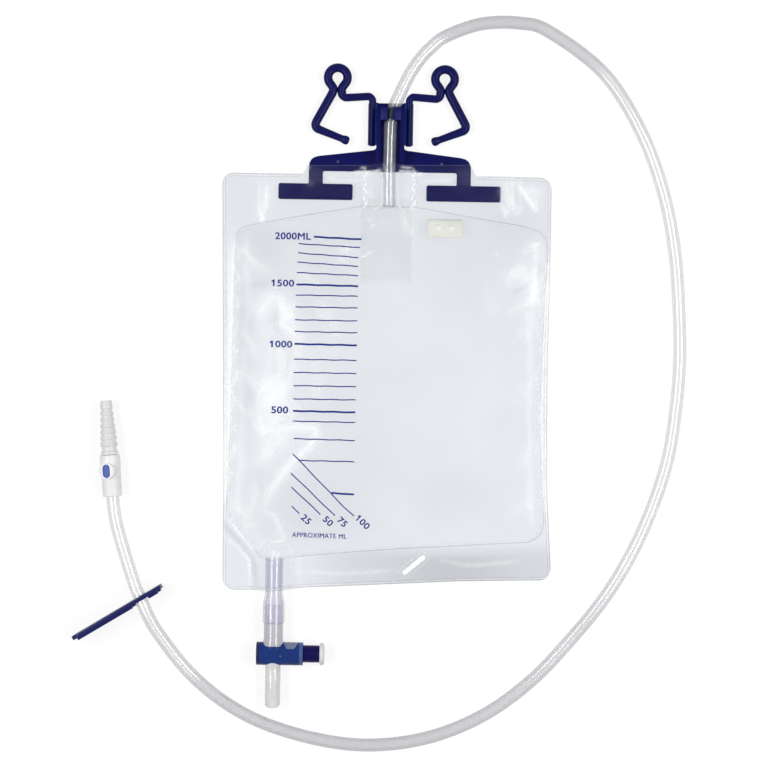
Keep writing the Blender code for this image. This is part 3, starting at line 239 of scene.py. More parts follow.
def lathe(name, profile, matrix, segments=64, closed=False):
    """A profile of (radius, height) turned about the height, then put in place."""
    points, faces, rings = [], [], []
    for radius, height in profile:
        count = 1 if radius < 1e-6 else segments
        rings.append([len(points) + k % count for k in range(segments + 1)])
        for k in range(count):
            a = 2 * math.pi * k / segments
            points.append((radius * math.cos(a), radius * math.sin(a), height))
    for one, two in zip(rings, rings[1:] + (rings[:1] if closed else [])):
        for k in range(segments):
            corners = (one[k], two[k], two[k + 1], one[k + 1])
            corners = tuple(dict.fromkeys(corners))
            if len(corners) > 2:
                faces.append(corners)
    mesh = mesh_from(name, points, faces)
    tidy_normals(mesh)
    mesh.transform(matrix)
    return mesh


def round_corners(profile, radius, steps=3):
    """Rounds the inner corners of an open profile, so that no edge is knife sharp."""
    points = [Vector(p) for p in profile]
    out = [points[0]]
    for back, here, ahead in zip(points, points[1:], points[2:]):
        a, b = back - here, ahead - here
        if a.length < 1e-7 or b.length < 1e-7 or a.angle(b) > math.radians(168):
            out.append(here)
            continue
        reach = min(radius / max(math.tan(a.angle(b) / 2), 0.3), 0.42 * a.length, 0.42 * b.length)
        start, end = here + a.normalized() * reach, here + b.normalized() * reach
        for k in range(steps + 1):
            t = k / steps
            out.append(start.lerp(here, t).lerp(here.lerp(end, t), t))
    out.append(points[-1])
    return [(p.x, p.y) for p in out]


def join_meshes(name, meshes):
    whole = bpy.data.meshes.new(name)
    with edited(whole) as shape:
        for mesh in meshes:
            shape.from_mesh(mesh)
    for mesh in meshes:
        bpy.data.meshes.remove(mesh)
    return whole


def smooth_route(route, pitch):
    """Points every pitch along a smooth curve through the route's own points."""
    route = [Vector(p) for p in route]
    ends = [2 * route[0] - route[1], *route, 2 * route[-1] - route[-2]]
    fine = []
    for a, b, c, d in zip(ends, ends[1:], ends[2:], ends[3:]):
        for k in range(24):
            t = k / 24
            fine.append(
                0.5 * (2 * b + (c - a) * t + (2 * a - 5 * b + 4 * c - d) * t**2
                       + (3 * b - a - 3 * c + d) * t**3)
            )
    fine.append(route[-1])
    along = np.cumsum([0.0] + [(two - one).length for one, two in zip(fine, fine[1:])])
    wanted = np.linspace(0, along[-1], max(2, round(along[-1] / pitch)) + 1)
    return np.stack([np.interp(wanted, along, part) for part in zip(*fine)], 1)


def ease(t):
    t = np.clip(t, 0.0, 1.0)
    return t * t * (3 - 2 * t)


def bell(t):
    return np.exp(-(t**2))


# ---------------------------------------------------------------- materials
class Nodes:
    """A small writer of the node tree of a material, or of the world."""

    def __init__(self, name, world=False):
        self.owner = (bpy.data.worlds if world else bpy.data.materials).new(name)
        self.owner.use_nodes = True
        self.tree = self.owner.node_tree
        self.tree.nodes.clear()
        self.out = self.add("OutputWorld" if world else "OutputMaterial")

    def add(self, kind, **values):
        node = self.tree.nodes.new("ShaderNode" + kind)
        for key, value in values.items():
            setattr(node, key, value)
        return node

    def put(self, socket, value):
        """Gives a socket a value, or the first output of a node, or another socket."""
        if isinstance(value, bpy.types.Node):
            value = value.outputs[0]
        if isinstance(value, bpy.types.NodeSocket):
            self.tree.links.new(value, socket)
        elif socket.type == "RGBA":
            socket.default_value = (*value[:3], 1.0)
        else:
            socket.default_value = value

    def make(self, kind, **inputs):
        node = self.add(kind)
        for key, value in inputs.items():
            self.put(node.inputs[key.replace("_", " ")], value)
        return node

    def fill(self, node, *values):
        for socket, value in zip(node.inputs, values):
            self.put(socket, value)
        return node

    def noise(self, scale, detail=3.0, rough=0.5, stretch=None, distortion=0.0):
        place = self.add("TexCoord").outputs["Object"]
        if stretch:
            place = self.make("Mapping", Vector=place, Scale=stretch).outputs["Vector"]
        return self.make(
            "TexNoise", Vector=place, Scale=scale, Detail=detail, Roughness=rough, Distortion=distortion
        ).outputs["Fac"]

    def attribute(self, name, output="Fac"):
        return self.add("Attribute", attribute_name=name).outputs[output]

    def facing(self, **inputs):
        """0 where a surface is seen straight on, 1 where it is seen on edge."""
        return self.make("LayerWeight", Blend=0.5, **inputs).outputs["Facing"]

    def ramp(self, value, *stops):
        """stops are (position, colour or grey)."""
        node = self.add("ValToRGB")
        marks = node.color_ramp.elements
        while len(marks) < len(stops):
            marks.new(0.5)
        for mark, (place, tone) in zip(marks, stops):
            mark.position = place
            mark.color = (*(tone if hasattr(tone, "__len__") else (tone,) * 3), 1.0)
        self.put(node.inputs["Fac"], value)
        return node.outputs["Color"]

    def tone(self, value, colour, low, high, first=0.3, last=0.7):
        """A colour that is darker or lighter where the value is low or high."""
        return self.ramp(value, (first, Vector(colour) * low), (last, Vector(colour) * high))

    def maths(self, operation, *values, clamp=False):
        return self.fill(self.add("Math", operation=operation, use_clamp=clamp), *values).outputs[0]

    def mix(self, share, one, two):
        node = self.add("Mix", data_type="RGBA")
        for k, value in ((0, share), (6, one), (7, two)):
            self.put(node.inputs[k], value)
        return node.outputs[2]

    def blend(self, share, one, two):
        return self.fill(self.add("MixShader"), share, one, two)

    def bump(self, height, strength, distance, **under):
        node = self.make("Bump", Strength=strength, Distance=distance, Height=height, **under)
        return node.outputs["Normal"]

    def mirror(self, facing, steep, gloss):
        """The share of mirrored light, which grows where the surface is seen on edge."""
        return self.maths("MULTIPLY_ADD", self.maths("POWER", facing, 4.0), steep, gloss)

    def seen(self):
        """1 for what the camera sees, also in metal and through clear plastic."""
        ray = self.add("LightPath").outputs
        through = self.maths("MAXIMUM", ray["Is Glossy Ray"], ray["Is Transmission Ray"])
        return self.maths("MAXIMUM", ray["Is Camera Ray"], through)

    def light_shadow(self, shader, through):
        """Lets a clear piece throw only a pale shadow, as clear PVC does."""
        ray = self.add("LightPath").outputs["Is Shadow Ray"]
        return self.blend(ray, shader, self.make("BsdfTransparent", Color=(through,) * 3))

    def finish(self, shader):
        self.put(self.out.inputs["Surface"], shader)
        return self.owner


def moulded(name, colour, roughness=0.32, shine=0.35, mottle=0.12, flow=0.0, scatter=0.0):
    """Injection-moulded plastic: a fine spark grain, faint flow marks, uneven gloss."""
    n = Nodes(name)
    patches = n.noise(38.0, 4.0, 0.6)
    normal = n.bump(n.noise(900.0, 2.0, 0.6), 0.35, 0.00003)
    if flow:
        marks = n.noise(26.0, 2.0, 0.5, stretch=(1.0, 0.25, 1.0), distortion=0.6)
        normal = n.bump(marks, 0.5, flow, Normal=normal)
    return n.finish(n.make(
        "BsdfPrincipled", Base_Color=n.tone(patches, colour, 1 - mottle, 1 + mottle),
        Roughness=n.maths("MULTIPLY_ADD", patches, 0.16, roughness - 0.08), Normal=normal,
        Specular_IOR_Level=shine, Subsurface_Weight=scatter, Subsurface_Radius=(1.0, 1.0, 1.0),
        Subsurface_Scale=0.0012,
    ))


def see_through(name, tint, haze, haze_colour, gloss, lined=False):
    """Soft clear PVC: it tints what is behind it and mirrors the lamps; its folds have painted highlights,
    partly the real whitening of creased film, and painted shade.

    A lined film also shows its weld and its cut edge, from its distance to them in mm, with a painted
    highlight along the weld.
    """
    n = Nodes(name)
    cloud = n.noise(22.0, 3.0, 0.55)
    tinted = n.tone(cloud, tint, 0.990, 1.0, last=0.72)
    whitening_and_highlight = n.maths("MULTIPLY_ADD", cloud, 0.002, haze)
    # painted highlight: the folds' pale marks, partly the real whitening of creased film, mix in a white body
    whitening_and_highlight = n.maths("ADD", whitening_and_highlight, n.maths("MULTIPLY", n.attribute("whitening_and_highlight"), 0.80), clamp=True)
    # darker places: the painted shade of the folds and broad patches, and the greyer strip and corners
    shade = n.attribute("shade")
    if lined:
        weld = n.maths("MULTIPLY_ADD", n.attribute("weld"), 0.125, 0.5)
        rim = n.maths("MULTIPLY", n.attribute("rim"), 1.0 / 6.0)
        line_breaks = n.ramp(n.noise(60.0, 2.0, 0.5), (0.35, 0.60), (0.65, 1.0))
        # the grey lines mark the weld and the cut edge; the pale line is a painted highlight along the weld's
        # ridge, and the bead a paler band inside the rim
        grey = n.ramp(weld, (0.37, 0.0), (0.43, 0.85), (0.49, 0.0), (0.62, 0.0), (0.66, 0.22), (0.71, 0.0))
        pale = n.ramp(weld, (0.49, 0.0), (0.54, 0.16), (0.60, 0.0))
        edge = n.ramp(
            rim, (0.0, 0.70), (0.06, 0.60), (0.13, 0.0), (0.29, 0.0), (0.335, 0.60), (0.39, 0.0)
        )
        bead = n.ramp(rim, (0.10, 0.0), (0.15, 0.16), (0.27, 0.12), (0.32, 0.0))
        shade = n.maths("ADD", shade, n.maths("MULTIPLY_ADD", grey, line_breaks, edge), clamp=True)
        whitening_and_highlight = n.maths("ADD", whitening_and_highlight, n.maths("MULTIPLY_ADD", pale, line_breaks, bead), clamp=True)
    tinted = n.mix(shade, tinted, Vector(tint) * 0.85)
    normal = n.bump(n.noise(170.0, 2.0, 0.5), 0.25, 0.0001, Normal=n.bump(cloud, 0.35, 0.0012))
    clear = n.make("BsdfTransparent", Color=tinted)
    body = n.make(
        "BsdfPrincipled", Base_Color=haze_colour, Roughness=0.45, Normal=normal, Specular_IOR_Level=0.2
    )
    shiny = n.make("BsdfGlossy", Color=(1.0, 1.0, 1.0), Roughness=0.16, Normal=normal)
    mirror = n.mirror(n.facing(Normal=normal), 0.5, gloss)
    return n.finish(n.light_shadow(n.blend(mirror, n.blend(whitening_and_highlight, clear, body), shiny), 0.965))


def tube_wall(name, colour, stops, gloss, glow=0.0):
    """A clear wall that looks denser where it is seen on edge, as thick PVC does.

    The attribute "clip" is 1 where the tube lies in the dark under the hanger's fingers, where painted shade
    makes its wall nearly black, "deep" where it lies in the channel, where painted shade darkens its wall,
    and "along" is its direction, by which upright runs get less cover, a painted side light.
    """
    n = Nodes(name)
    streaks = n.noise(60.0, 2.0, 0.5)
    facing, clip, along = n.facing(), n.attribute("clip"), n.attribute("along", "Vector")
    tone = n.tone(streaks, colour, 0.95, 1.04)
    # painted shade: the wall is darker where it lies in the channel
    tone = n.mix(n.attribute("deep"), tone, (0.090, 0.090, 0.140))
    # painted shade under the fingers: a nearly black wall that mirrors almost nothing
    tone = n.mix(clip, tone, (0.004, 0.020, 0.034))
    lit = n.maths("SUBTRACT", 1.0, n.maths("MULTIPLY", clip, 0.96))
    cover = n.maths("MAXIMUM", n.ramp(facing, *stops), n.maths("MULTIPLY", clip, 0.97))
    # painted side light: upright runs get less cover, so they look lighter, as if lit by the side lamps
    upright = n.make("SeparateXYZ", Vector=along).outputs["Y"]
    side_light = n.maths("MULTIPLY", n.maths("MULTIPLY", n.maths("MULTIPLY", upright, upright), lit), 0.50)
    cover = n.maths("MULTIPLY", cover, n.maths("SUBTRACT", 1.0, side_light))
    normal = n.bump(streaks, 0.04, 0.0004)
    clear = n.make("BsdfTransparent", Color=(0.985, 0.985, 0.990))
    body = n.make("BsdfPrincipled", Base_Color=tone, Roughness=0.30, Normal=normal, Specular_IOR_Level=0.2)
    # light that goes round inside the wall spreads across the tube, and not along it
    round_wall = n.make("BsdfAnisotropic", Roughness=0.38, Normal=normal, Anisotropy=0.9, Tangent=along)
    shiny = n.make("BsdfGlossy", Roughness=0.075, Normal=normal)
    wall = n.blend(n.maths("MULTIPLY", lit, glow), n.blend(cover, clear, body), round_wall)
    mirror = n.maths("MULTIPLY", n.mirror(facing, 0.5, gloss), lit)
    return n.finish(n.light_shadow(n.blend(mirror, wall, shiny), 0.94))


def soft_vinyl(name, colour, cover, denser=0.35):
    """Thick, half clear vinyl, which is denser where it is seen on edge."""
    n = Nodes(name)
    cloud, facing = n.noise(90.0, 3.0, 0.6), n.facing()
    dense = n.ramp(
        facing, (0.0, cover), (0.5, min(1.0, cover + 0.43 * denser)), (1.0, min(1.0, cover + denser))
    )
    normal = n.bump(cloud, 0.4, 0.0003)
    clear = n.make("BsdfTransparent", Color=(0.96, 0.96, 0.985))
    tone = n.tone(cloud, colour, 0.92, 1.08)
    body = n.make("BsdfPrincipled", Base_Color=tone, Roughness=0.25, Normal=normal)
    shiny = n.make("BsdfGlossy", Roughness=0.10, Normal=normal)
    return n.finish(n.blend(n.mirror(facing, 0.4, 0.04), n.blend(dense, clear, body), shiny))


# ---------------------------------------------------------------- the stage
class DRAINBAG_OT_stage(bpy.types.Operator):
    """Make the floor, the lamps, the sky and the camera"""

    bl_idname = "drainbag.stage"
    bl_label = "Stage"

    def execute(self, context):
        stage = settings("stage")
        scene = context.scene
        scene.view_settings.view_transform = "Standard"
        scene.cycles.transparent_max_bounces = 32
        camera = scene.camera = linked("camera", bpy.data.cameras.new("camera"))
        camera.location = (-0.0021, 0.0004, stage.camera_height)
        camera.data.lens = stage.lens
        camera.data.sensor_width = 36.0
        corners = [(x, y, -0.0002) for x, y in ((-6, -6), (6, -6), (6, 6), (-6, 6))]
        floor = linked("floor", mesh_from("floor", corners, [(0, 1, 2, 3)]))
        floor.data.materials.append(self.floor_finish(stage.floor_colour))
        for name, side in (("softbox left", -1), ("softbox right", 1)):
            self.lamp(name, (side * 0.80, 0.0, 1.15), (1.2, 0.38), stage.side_power)
        scene.world = self.sky(stage.sky)
        return {"FINISHED"}

    def sky(self, strength):
        """A dim, even light, which is white where it is seen."""
        n = Nodes("sky", world=True)
        white = n.make("Background", Color=(1.0, 1.0, 1.0), Strength=1.0)
        return n.finish(n.blend(n.seen(), n.make("Background", Strength=strength), white))

    def lamp(self, name, place, size, power):
        """A softbox that looks at the origin, its long side along Y."""
        data = bpy.data.lights.new(name, "AREA")
        data.shape = "RECTANGLE"
        data.size, data.size_y = size
        data.energy = power
        away, along = Vector(place).normalized(), Vector((0.0, 1.0, 0.0))
        turn = Matrix((along, away.cross(along), away)).transposed()
        lamp = linked(name, data)
        lamp.matrix_world = Matrix.Translation(place) @ turn.to_4x4()
        lamp.visible_camera = False

    def floor_finish(self, colour):
        """A pale floor that reads as white, and keeps the soft shadow of the bag."""
        n = Nodes("pale floor")
        pale = n.make("BsdfDiffuse", Color=n.tone(n.noise(6.0, 3.0, 0.5), colour, 0.99, 1.0))
        dim = n.make("BsdfDiffuse", Color=(0.20, 0.20, 0.20))
        seen = n.seen()
        glow = n.make("Emission", Strength=n.maths("MULTIPLY", seen, 0.83))
        return n.finish(n.fill(n.add("AddShader"), n.blend(seen, pale, dim), glow))


# ---------------------------------------------------------------- shape of the films
def distance_to_line(x, y, points, closed=False):
    """Distance to a run of straight lines, and how far along the run its nearest place is."""
    points = [*points, points[0]] if closed else points
    best, along, run = np.full(x.shape, 1e9), np.zeros(x.shape), 0.0
    for (ax, ay), (bx, by) in zip(points, points[1:]):
        dx, dy = bx - ax, by - ay
        long = math.hypot(dx, dy)
        t = np.clip(((x - ax) * dx + (y - ay) * dy) / long**2, 0, 1)
        d = np.hypot(x - ax - t * dx, y - ay - t * dy)
        near = d < best
        best = np.where(near, d, best)
        along = np.where(near, run + t * long, along)
        run += long
    return best, along / max(run, 1e-9)


def depth_inside(x, y, corners):
    """Distance from a closed outline, below 0 outside it."""
    inside = np.zeros(x.shape, bool)
    for (ax, ay), (bx, by) in zip(corners, corners[1:] + corners[:1]):
        if ay != by:
            inside ^= ((ay > y) != (by > y)) & (x < (bx - ax) * (y - ay) / (by - ay) + ax)
    gap, _ = distance_to_line(x, y, corners, closed=True)
    return np.where(inside, gap, -gap)


RESERVOIR = places((
    (361, 207), (300, 216.5), (262, 223), (243, 227), (237.5, 232), (236, 240), (234.5, 300),
    (233, 360), (231, 430), (228.5, 480), (227, 508), (229.5, 517), (243, 534), (255, 549), (261, 555.5),
    (270, 557.6), (286, 557), (300, 555.6), (345, 552), (400, 548), (431, 546.7), (480, 544.2), (528, 541.8),
    (537, 538), (542, 531), (543.5, 520), (540.5, 470), (539, 420), (541, 360), (544, 300),
    (547.5, 250), (546, 238.5), (538, 231), (524, 227), (494, 221.6), (455, 215), (417, 208),
))
SEAM_LEFT, SEAM_RIGHT = RESERVOIR[5:11][::-1], RESERVOIR[25:31]

# Folds and creases: (points, height in mm, half-width in drawing steps, milkiness).
# The milkiness is a painted highlight, partly the real whitening of the crease; one below 0 is painted shade,
# a place that looks darker instead.
FOLDS = [
    ([(266.5, 186), (265, 198), (261, 216)], 0.5, 4.6, 0.62),
    ([(261, 214), (263, 222)], 0.2, 2.0, 0.50),
    ([(303, 172), (309, 167)], 0.2, 1.6, 0.30),
    ([(235, 240), (247, 254.5), (262, 266), (271, 273.5)], 0.5, 4.2, 0.42),
    ([(272, 293), (262, 306), (257, 313)], 0.5, 5.0, 0.55),
    ([(277.5, 292), (281, 307.5), (286, 317), (281, 324), (291, 331), (300, 342)], 0.5, 4.6, 0.72),
    ([(290, 300), (294, 316), (302, 330)], 0.2, 4.0, 0.35),
    ([(276, 301), (279, 310)], 0.0, 1.3, -0.35),
    ([(297, 274.5), (307, 278), (317, 285), (320, 288)], 0.4, 3.6, 0.42),
    ([(318, 300), (321, 314), (333, 320), (338, 338)], 0.3, 3.8, 0.36),
    ([(346, 246), (347.5, 253)], 0.3, 4.6, 0.62),
    ([(341, 256), (343, 263)], 0.2, 5.0, 0.42),
    ([(359, 258), (366, 255.6), (372, 252)], 0.15, 1.2, 0.55),
    ([(258.5, 281), (259, 289)], 0.0, 10.5, -0.30),
    ([(238, 262), (246, 272)], 0.3, 3.6, 0.24),
    ([(300, 342), (296, 360), (290, 378), (284, 398)], 0.5, 4.6, 0.46),
    ([(262, 330), (272, 352), (268, 372)], 0.4, 4.2, 0.34),
    ([(236, 330), (252, 340), (262, 358)], 0.4, 3.4, 0.34),
    ([(234, 372), (250, 374), (262, 390)], 0.4, 3.4, 0.30),
    ([(312, 352), (318, 372), (314, 396)], 0.3, 4.0, 0.24),
    ([(234, 404), (252, 412), (262, 431)], 0.4, 3.6, 0.34),
    ([(262, 432), (280, 429), (298, 426.5), (314, 428.5), (317, 436), (309, 447), (295, 459), (281, 476.5),
      (270.5, 491), (264.5, 506)], 0.7, 4.4, 0.78),
    ([(260, 465), (271, 445), (281, 440), (291, 438)], 0.4, 7.0, 0.60),
    ([(228, 503), (245, 514), (246, 527)], 0.3, 4.2, 0.42),
    ([(255, 481), (256.5, 493), (253, 503), (251.5, 514)], 0.3, 3.0, 0.48),
    ([(265.5, 513), (274, 514.5), (279, 526), (283.5, 533.5), (286, 539)], 0.3, 2.4, 0.50),
    ([(240, 533), (250, 526), (261, 522.5)], 0.3, 2.6, 0.30),
    ([(258.5, 547.5), (267, 546), (272, 541.5), (284, 539.7)], 0.25, 1.2, 0.72),
    ([(267, 546), (263, 555)], 0.25, 1.4, 0.65),
    ([(271.6, 546), (274.4, 550), (273, 559)], 0.2, 1.1, 0.70),
    ([(286, 549.5), (279, 551), (277.5, 559)], 0.2, 1.1, 0.62),
    ([(293.5, 552), (290.5, 562), (290.5, 573), (295, 581)], 0.3, 2.6, 0.48),
    ([(297.6, 558), (297.6, 579)], 0.15, 1.6, 0.30),
    ([(228, 505), (230.3, 520), (238.6, 532), (250.4, 544), (259, 556)], 0.3, 1.5, 0.62),
    ([(224.6, 526), (233, 536), (246, 552), (254, 564), (257, 586)], 0.1, 2.6, -0.42),
    ([(226, 538), (238.6, 547.4), (249.2, 561.6), (251.6, 586)], 0.1, 1.7, 0.45),
    ([(235.5, 443), (231.5, 452), (231, 462)], 0.1, 2.0, 0.35),
    ([(522, 252), (533, 246), (541, 241.5)], 0.3, 3.2, 0.45),
    ([(533, 262.5), (539, 266), (538, 276), (528, 285), (513, 293.5)], 0.3, 1.9, -0.36),
    ([(524, 265), (509, 277), (505, 286)], 0.4, 4.0, 0.46),
    ([(496, 254), (499, 255)], 0.1, 2.0, 0.50),
    ([(537, 292), (528, 302), (508, 312)], 0.4, 3.6, 0.42),
    ([(522, 308.5), (537, 310), (534, 316)], 0.2, 2.0, -0.26),
    ([(484, 286), (492, 300), (488, 318)], 0.3, 4.6, 0.22),
    ([(541, 336), (526, 330), (514, 342)], 0.3, 3.8, 0.26),
    ([(540, 382), (524, 386), (512, 404)], 0.3, 3.8, 0.18),
    ([(539, 440), (526, 448), (514, 472)], 0.3, 3.6, 0.18),
    ([(542, 508), (524, 504), (506, 516)], 0.3, 3.6, 0.26),
    ([(510.5, 180), (507, 191), (511, 203), (518, 211)], 0.15, 4.6, 0.60),
    ([(517.5, 183), (527, 196.5), (537, 211)], 0.25, 1.7, 0.80),
    ([(527, 186), (535, 197), (538, 207)], 0.15, 4.2, 0.40),
    ([(501, 204.5), (508.5, 212.5)], 0.2, 1.6, 0.45),
    ([(503.5, 214), (507, 213.3)], 0.2, 2.2, 0.80),
    ([(529, 188), (543, 193)], 0.2, 2.2, 0.30),
    ([(402, 211), (405.5, 226), (413, 236)], 0.3, 3.0, 0.46),
    ([(370, 218), (372, 220)], 0.2, 3.0, 0.62),
    ([(371, 226), (374, 227)], 0.2, 2.0, 0.55),
    ([(378, 170.5), (382.3, 177), (382.3, 205), (373, 210.5)], 0.2, 1.3, 0.60),
    ([(401, 172), (398, 178), (398, 206), (403, 211)], 0.2, 1.3, 0.60),
    ([(324.7, 174), (333, 179), (361, 181)], 0.15, 1.1, 0.42),
    ([(455, 176.5), (447, 180.5), (419, 181.5)], 0.15, 1.1, 0.42),
    ([(344, 562.8), (380, 560.4), (402, 559)], 0.1, 1.4, -0.30),
    ([(300, 572), (340, 574), (396, 571)], 0.1, 2.0, 0.24),
    ([(438, 560), (470, 566), (520, 562)], 0.15, 2.2, 0.26),
    ([(314, 168), (315, 184)], 0.0, 8.0, 0.03),
    ([(466, 168), (464, 186)], 0.0, 8.0, 0.03),
    ([(351, 173.2), (357, 172.3), (374, 172.3), (381, 171.0)], 0.0, 0.9, 0.85),
    ([(399, 172.0), (416, 172.8), (423, 174.4)], 0.0, 0.9, 0.85),
    ([(366, 176), (370, 200)], 0.0, 4.5, 0.16),
    ([(407, 178), (410, 202)], 0.0, 4.5, 0.14),
    ([(304, 176), (312, 186)], 0.0, 2.2, 0.06),
    ([(262, 378), (276, 390), (270, 410)], 0.4, 8.0, 0.45),
    ([(516, 272), (536, 284), (534, 302)], 0.3, 7.0, 0.60),
    ([(330, 304), (326, 312)], 0.2, 5.0, 0.34),
    ([(320, 384), (316, 398)], 0.2, 4.0, 0.30),
    ([(361, 167.6), (366, 167.8)], 0.0, 1.3, 0.30), ([(401, 167.6), (411, 168.2)], 0.0, 1.4, 0.42),
    ([(275.0, 349), (275.4, 362), (275.2, 376)], 0.1, 0.8, -0.30),
    ([(279.5, 311), (276, 322), (281, 332)], 0.1, 3.4, -0.34),
    ([(276.5, 298), (277.5, 305)], 0.1, 1.2, -0.32),
]
# Pale patches of painted highlight, with a clear outline: (outline, softness of the outline in drawing steps,
# milkiness)
PATCHES = [
    (((266, 378), (274, 374), (285, 378), (287, 398), (296, 402), (302, 408), (298, 416), (284, 420),
      (262, 436), (257, 424), (257, 410), (258, 398), (262, 388)), 6.0, 0.30),
    (((268, 300), (278, 294), (286, 298), (294, 304), (295, 318), (291, 324), (281, 321), (279, 313),
      (282, 308), (275, 303), (270, 312), (269, 324), (275, 336), (266, 330), (259, 324), (257, 311)),
     4.0, 0.18),
    (((275.8, 348), (280, 346), (286, 354), (286.5, 368), (281, 377), (277, 377)), 3.0, 0.32),
    (((531, 243), (543, 240), (541, 330), (532, 326)), 8.0, 0.20),
]
# Upright crinkles beside the tube: (column, top row, bottom row)
CRINKLES = [(365.0, 166.0, 207.0), (413.5, 166.0, 208.0)]
# Broad patches of painted shade, where the film looks darker: (middle, reach along x and y in drawing steps,
# how dark)
SHADE_PATCHES = [
    ((318, 222), (72, 62), 0.15), ((480, 225), (66, 76), 0.17), ((388, 190), (34, 26), 0.14),
    ((300, 506), (44, 34), 0.18), ((366, 440), (52, 80), 0.08), ((245.5, 316), (8, 52), 0.30),
    ((246, 398), (8, 48), 0.26), ((258, 480), (10, 26), 0.10), ((452, 494), (40, 26), 0.10),
    ((512, 222), (26, 30), 0.10), ((262, 262), (20, 12), 0.10), ((330, 300), (34, 30), 0.08),
]


def back_underside(x, y):
    """The back film lies flat, and rises a little where the outlet tube is welded in."""
    lift = BARREL_Z - OUTLET_TUBE / 2 - TOUCH - FILM
    across = ease((0.016 - np.abs(outlet_offset(x, y))) / 0.010)
    along = ease((OUTLET_TOP + 0.020 - y) / 0.018)
    return lift * across * along


def outlet_offset(x, y):
    """How far a place lies to the right of the outlet's middle line."""
    lean = math.tan(-OUTLET_LEAN)
    return (x - OUTLET_MIDDLE - lean * (y - OUTLET_EDGE)) * math.cos(OUTLET_LEAN)


def tube_height(y):
    """Height of the tube's middle, which climbs from the valve on to the hanger."""
    low = INSIDE + VALVE_FILM + TOUCH + TUBE / 2
    high = PLATE_TOP + TOUCH + TUBE / 2
    return low + ease((y - VALVE_TOP) / (HANGER_FOOT - 0.001 - VALVE_TOP)) * (high - low)


def drape(offset, radius, height):
    """A film over a round bar: round on top, and down at 45 degrees on both sides of it."""
    offset = np.abs(offset)
    root = math.sqrt(2)
    top = height + np.sqrt(np.maximum(radius**2 - offset**2, 0))
    return np.where(offset < radius / root, top, height + radius * root - offset)


def soft_max(a, b, reach=0.0008):
    """The higher of two surfaces, with the corner between them rounded."""
    h = np.clip(0.5 + 0.5 * (a - b) / reach, 0, 1)
    return b + (a - b) * h + reach * h * (1 - h) * 0.5


def film_details(x, y):
    """Height of the folds and puckers, their painted highlight and whitening, and their painted shade."""
    height, whitening_and_highlight, shade = (np.zeros(x.shape) for _ in range(3))
    for points, rise, width, share in FOLDS:
        d, t = distance_to_line(x, y, places(points))
        taper = np.clip(5 * t * (1 - t), 0.0, 1.0) ** 0.5
        profile = bell(d / (1.5 * width * PITCH)) * (0.35 + 0.65 * taper)
        height = np.maximum(height, rise * 0.001 * profile)
        # wide patches are fainter, and softer at their edges, than sharp creases
        wide = ease((width - 1.8) / 1.2) if share > 0 else 0.0
        mark = bell(d / (width * PITCH * (1 + 0.22 * wide))) * (0.3 + 0.7 * taper)
        if share > 0:
            whitening_and_highlight = 1 - (1 - whitening_and_highlight) * (1 - share * (1 - 0.36 * wide) * mark)
        else:
            shade = np.maximum(shade, -share * mark)
    for outline, soft, share in PATCHES:
        spread = ease(0.5 + depth_inside(x, y, places(outline)) / (soft * PITCH))
        height = height + 0.00025 * spread
        whitening_and_highlight = 1 - (1 - whitening_and_highlight) * (1 - share * spread)
    for middle, (wide, high), dark in SHADE_PATCHES:
        cx, cy = at(*middle)
        shade = shade + dark * bell(np.hypot((x - cx) / (wide * PITCH), (y - cy) / (high * PITCH)))
    for seam, side, rise in ((SEAM_LEFT, 1, 1.0), (SEAM_RIGHT, -1, 0.55)):
        up, whitening_and_highlight = seam_puckers(x, y, seam, side, rise, whitening_and_highlight)
        height = height + up
    for column, top, bottom in CRINKLES:
        (cx, ty), (_, by) = at(column, top), at(column, bottom)
        bend = 0.0010 * np.sin(y * 900.0) + 0.0007 * np.sin(y * 2100.0 + 1.0)
        d = np.abs(x - cx - bend)
        here = ease((y - by + 0.002) / 0.003) * ease((ty - y) / 0.003)
        height = height + 0.0004 * bell(d / 0.0009) * here
        # each crinkle's ridge gets a painted highlight, broken along it, with a line of painted shade beside
        # it
        broken = np.clip(0.75 + 0.45 * np.sin(y * 1500.0 + 2 * np.sin(y * 400.0)), 0, 1)
        whitening_and_highlight = np.maximum(whitening_and_highlight, bell(d / 0.00080) * here * broken)
        shade = np.maximum(shade, 0.45 * bell((d - 0.0013) / 0.0006) * here)
    return height, whitening_and_highlight, shade


def seam_puckers(x, y, seam, side, rise, whitening_and_highlight):
    """The puckers along a side weld, with a painted highlight on their ridge and in a band along the weld,
    which follow them.
    """
    line = np.array(seam)
    low, high = line[0, 1], line[-1, 1]
    inward = (x - np.interp(y, line[:, 1], line[:, 0])) * side
    wobble = 0.35 * np.sin(y * 233.0 + 1.3) + 0.25 * np.sin(y * 611.0)
    swell = (0.5 + 0.5 * np.cos((y - 0.0745) / 0.0172 * 2 * np.pi + wobble * 1.6)) ** 0.8
    fade = ease(inward / 0.0025) * np.exp(-np.maximum(inward, 0) / 0.0085)
    ends = ease((y - low + 0.004) / 0.02) * ease((high + 0.004 - y) / 0.02)
    scallop = -0.0016 + 0.0040 * swell
    ridge = bell((inward - scallop) / 0.0010) * ends
    strip = bell((inward + 0.0042) / 0.0026) * ends
    ripple = 0.5 + 0.5 * np.sin(y * 520.0 + np.sin(y * 190.0) * 2.0)
    up = settings("films").pucker * rise * swell * fade * ends + 0.00016 * ridge + 0.00002 * strip * ripple
    band = ease((inward + 0.0062) / 0.0015) * ease((scallop - inward) / 0.0012) * ends
    mottle = 0.88 + 0.12 * np.sin(y * 330.0 + 2 * np.sin(y * 150.0))
    clear = (1 - 0.62 * ridge * (0.3 + 0.7 * rise)) * (1 - (0.10 + 0.26 * rise) * band * mottle)
    return up, 1 - (1 - whitening_and_highlight) * clear


def over_tube(x, y, room):
    """The height of a film that is draped over the drain tube, room away from it."""
    past_end = np.maximum(0.0, TUBE_END - 0.004 - y)
    return drape(x - TUBE_MIDDLE, TUBE / 2 + room, tube_height(y)) - past_end * 0.35


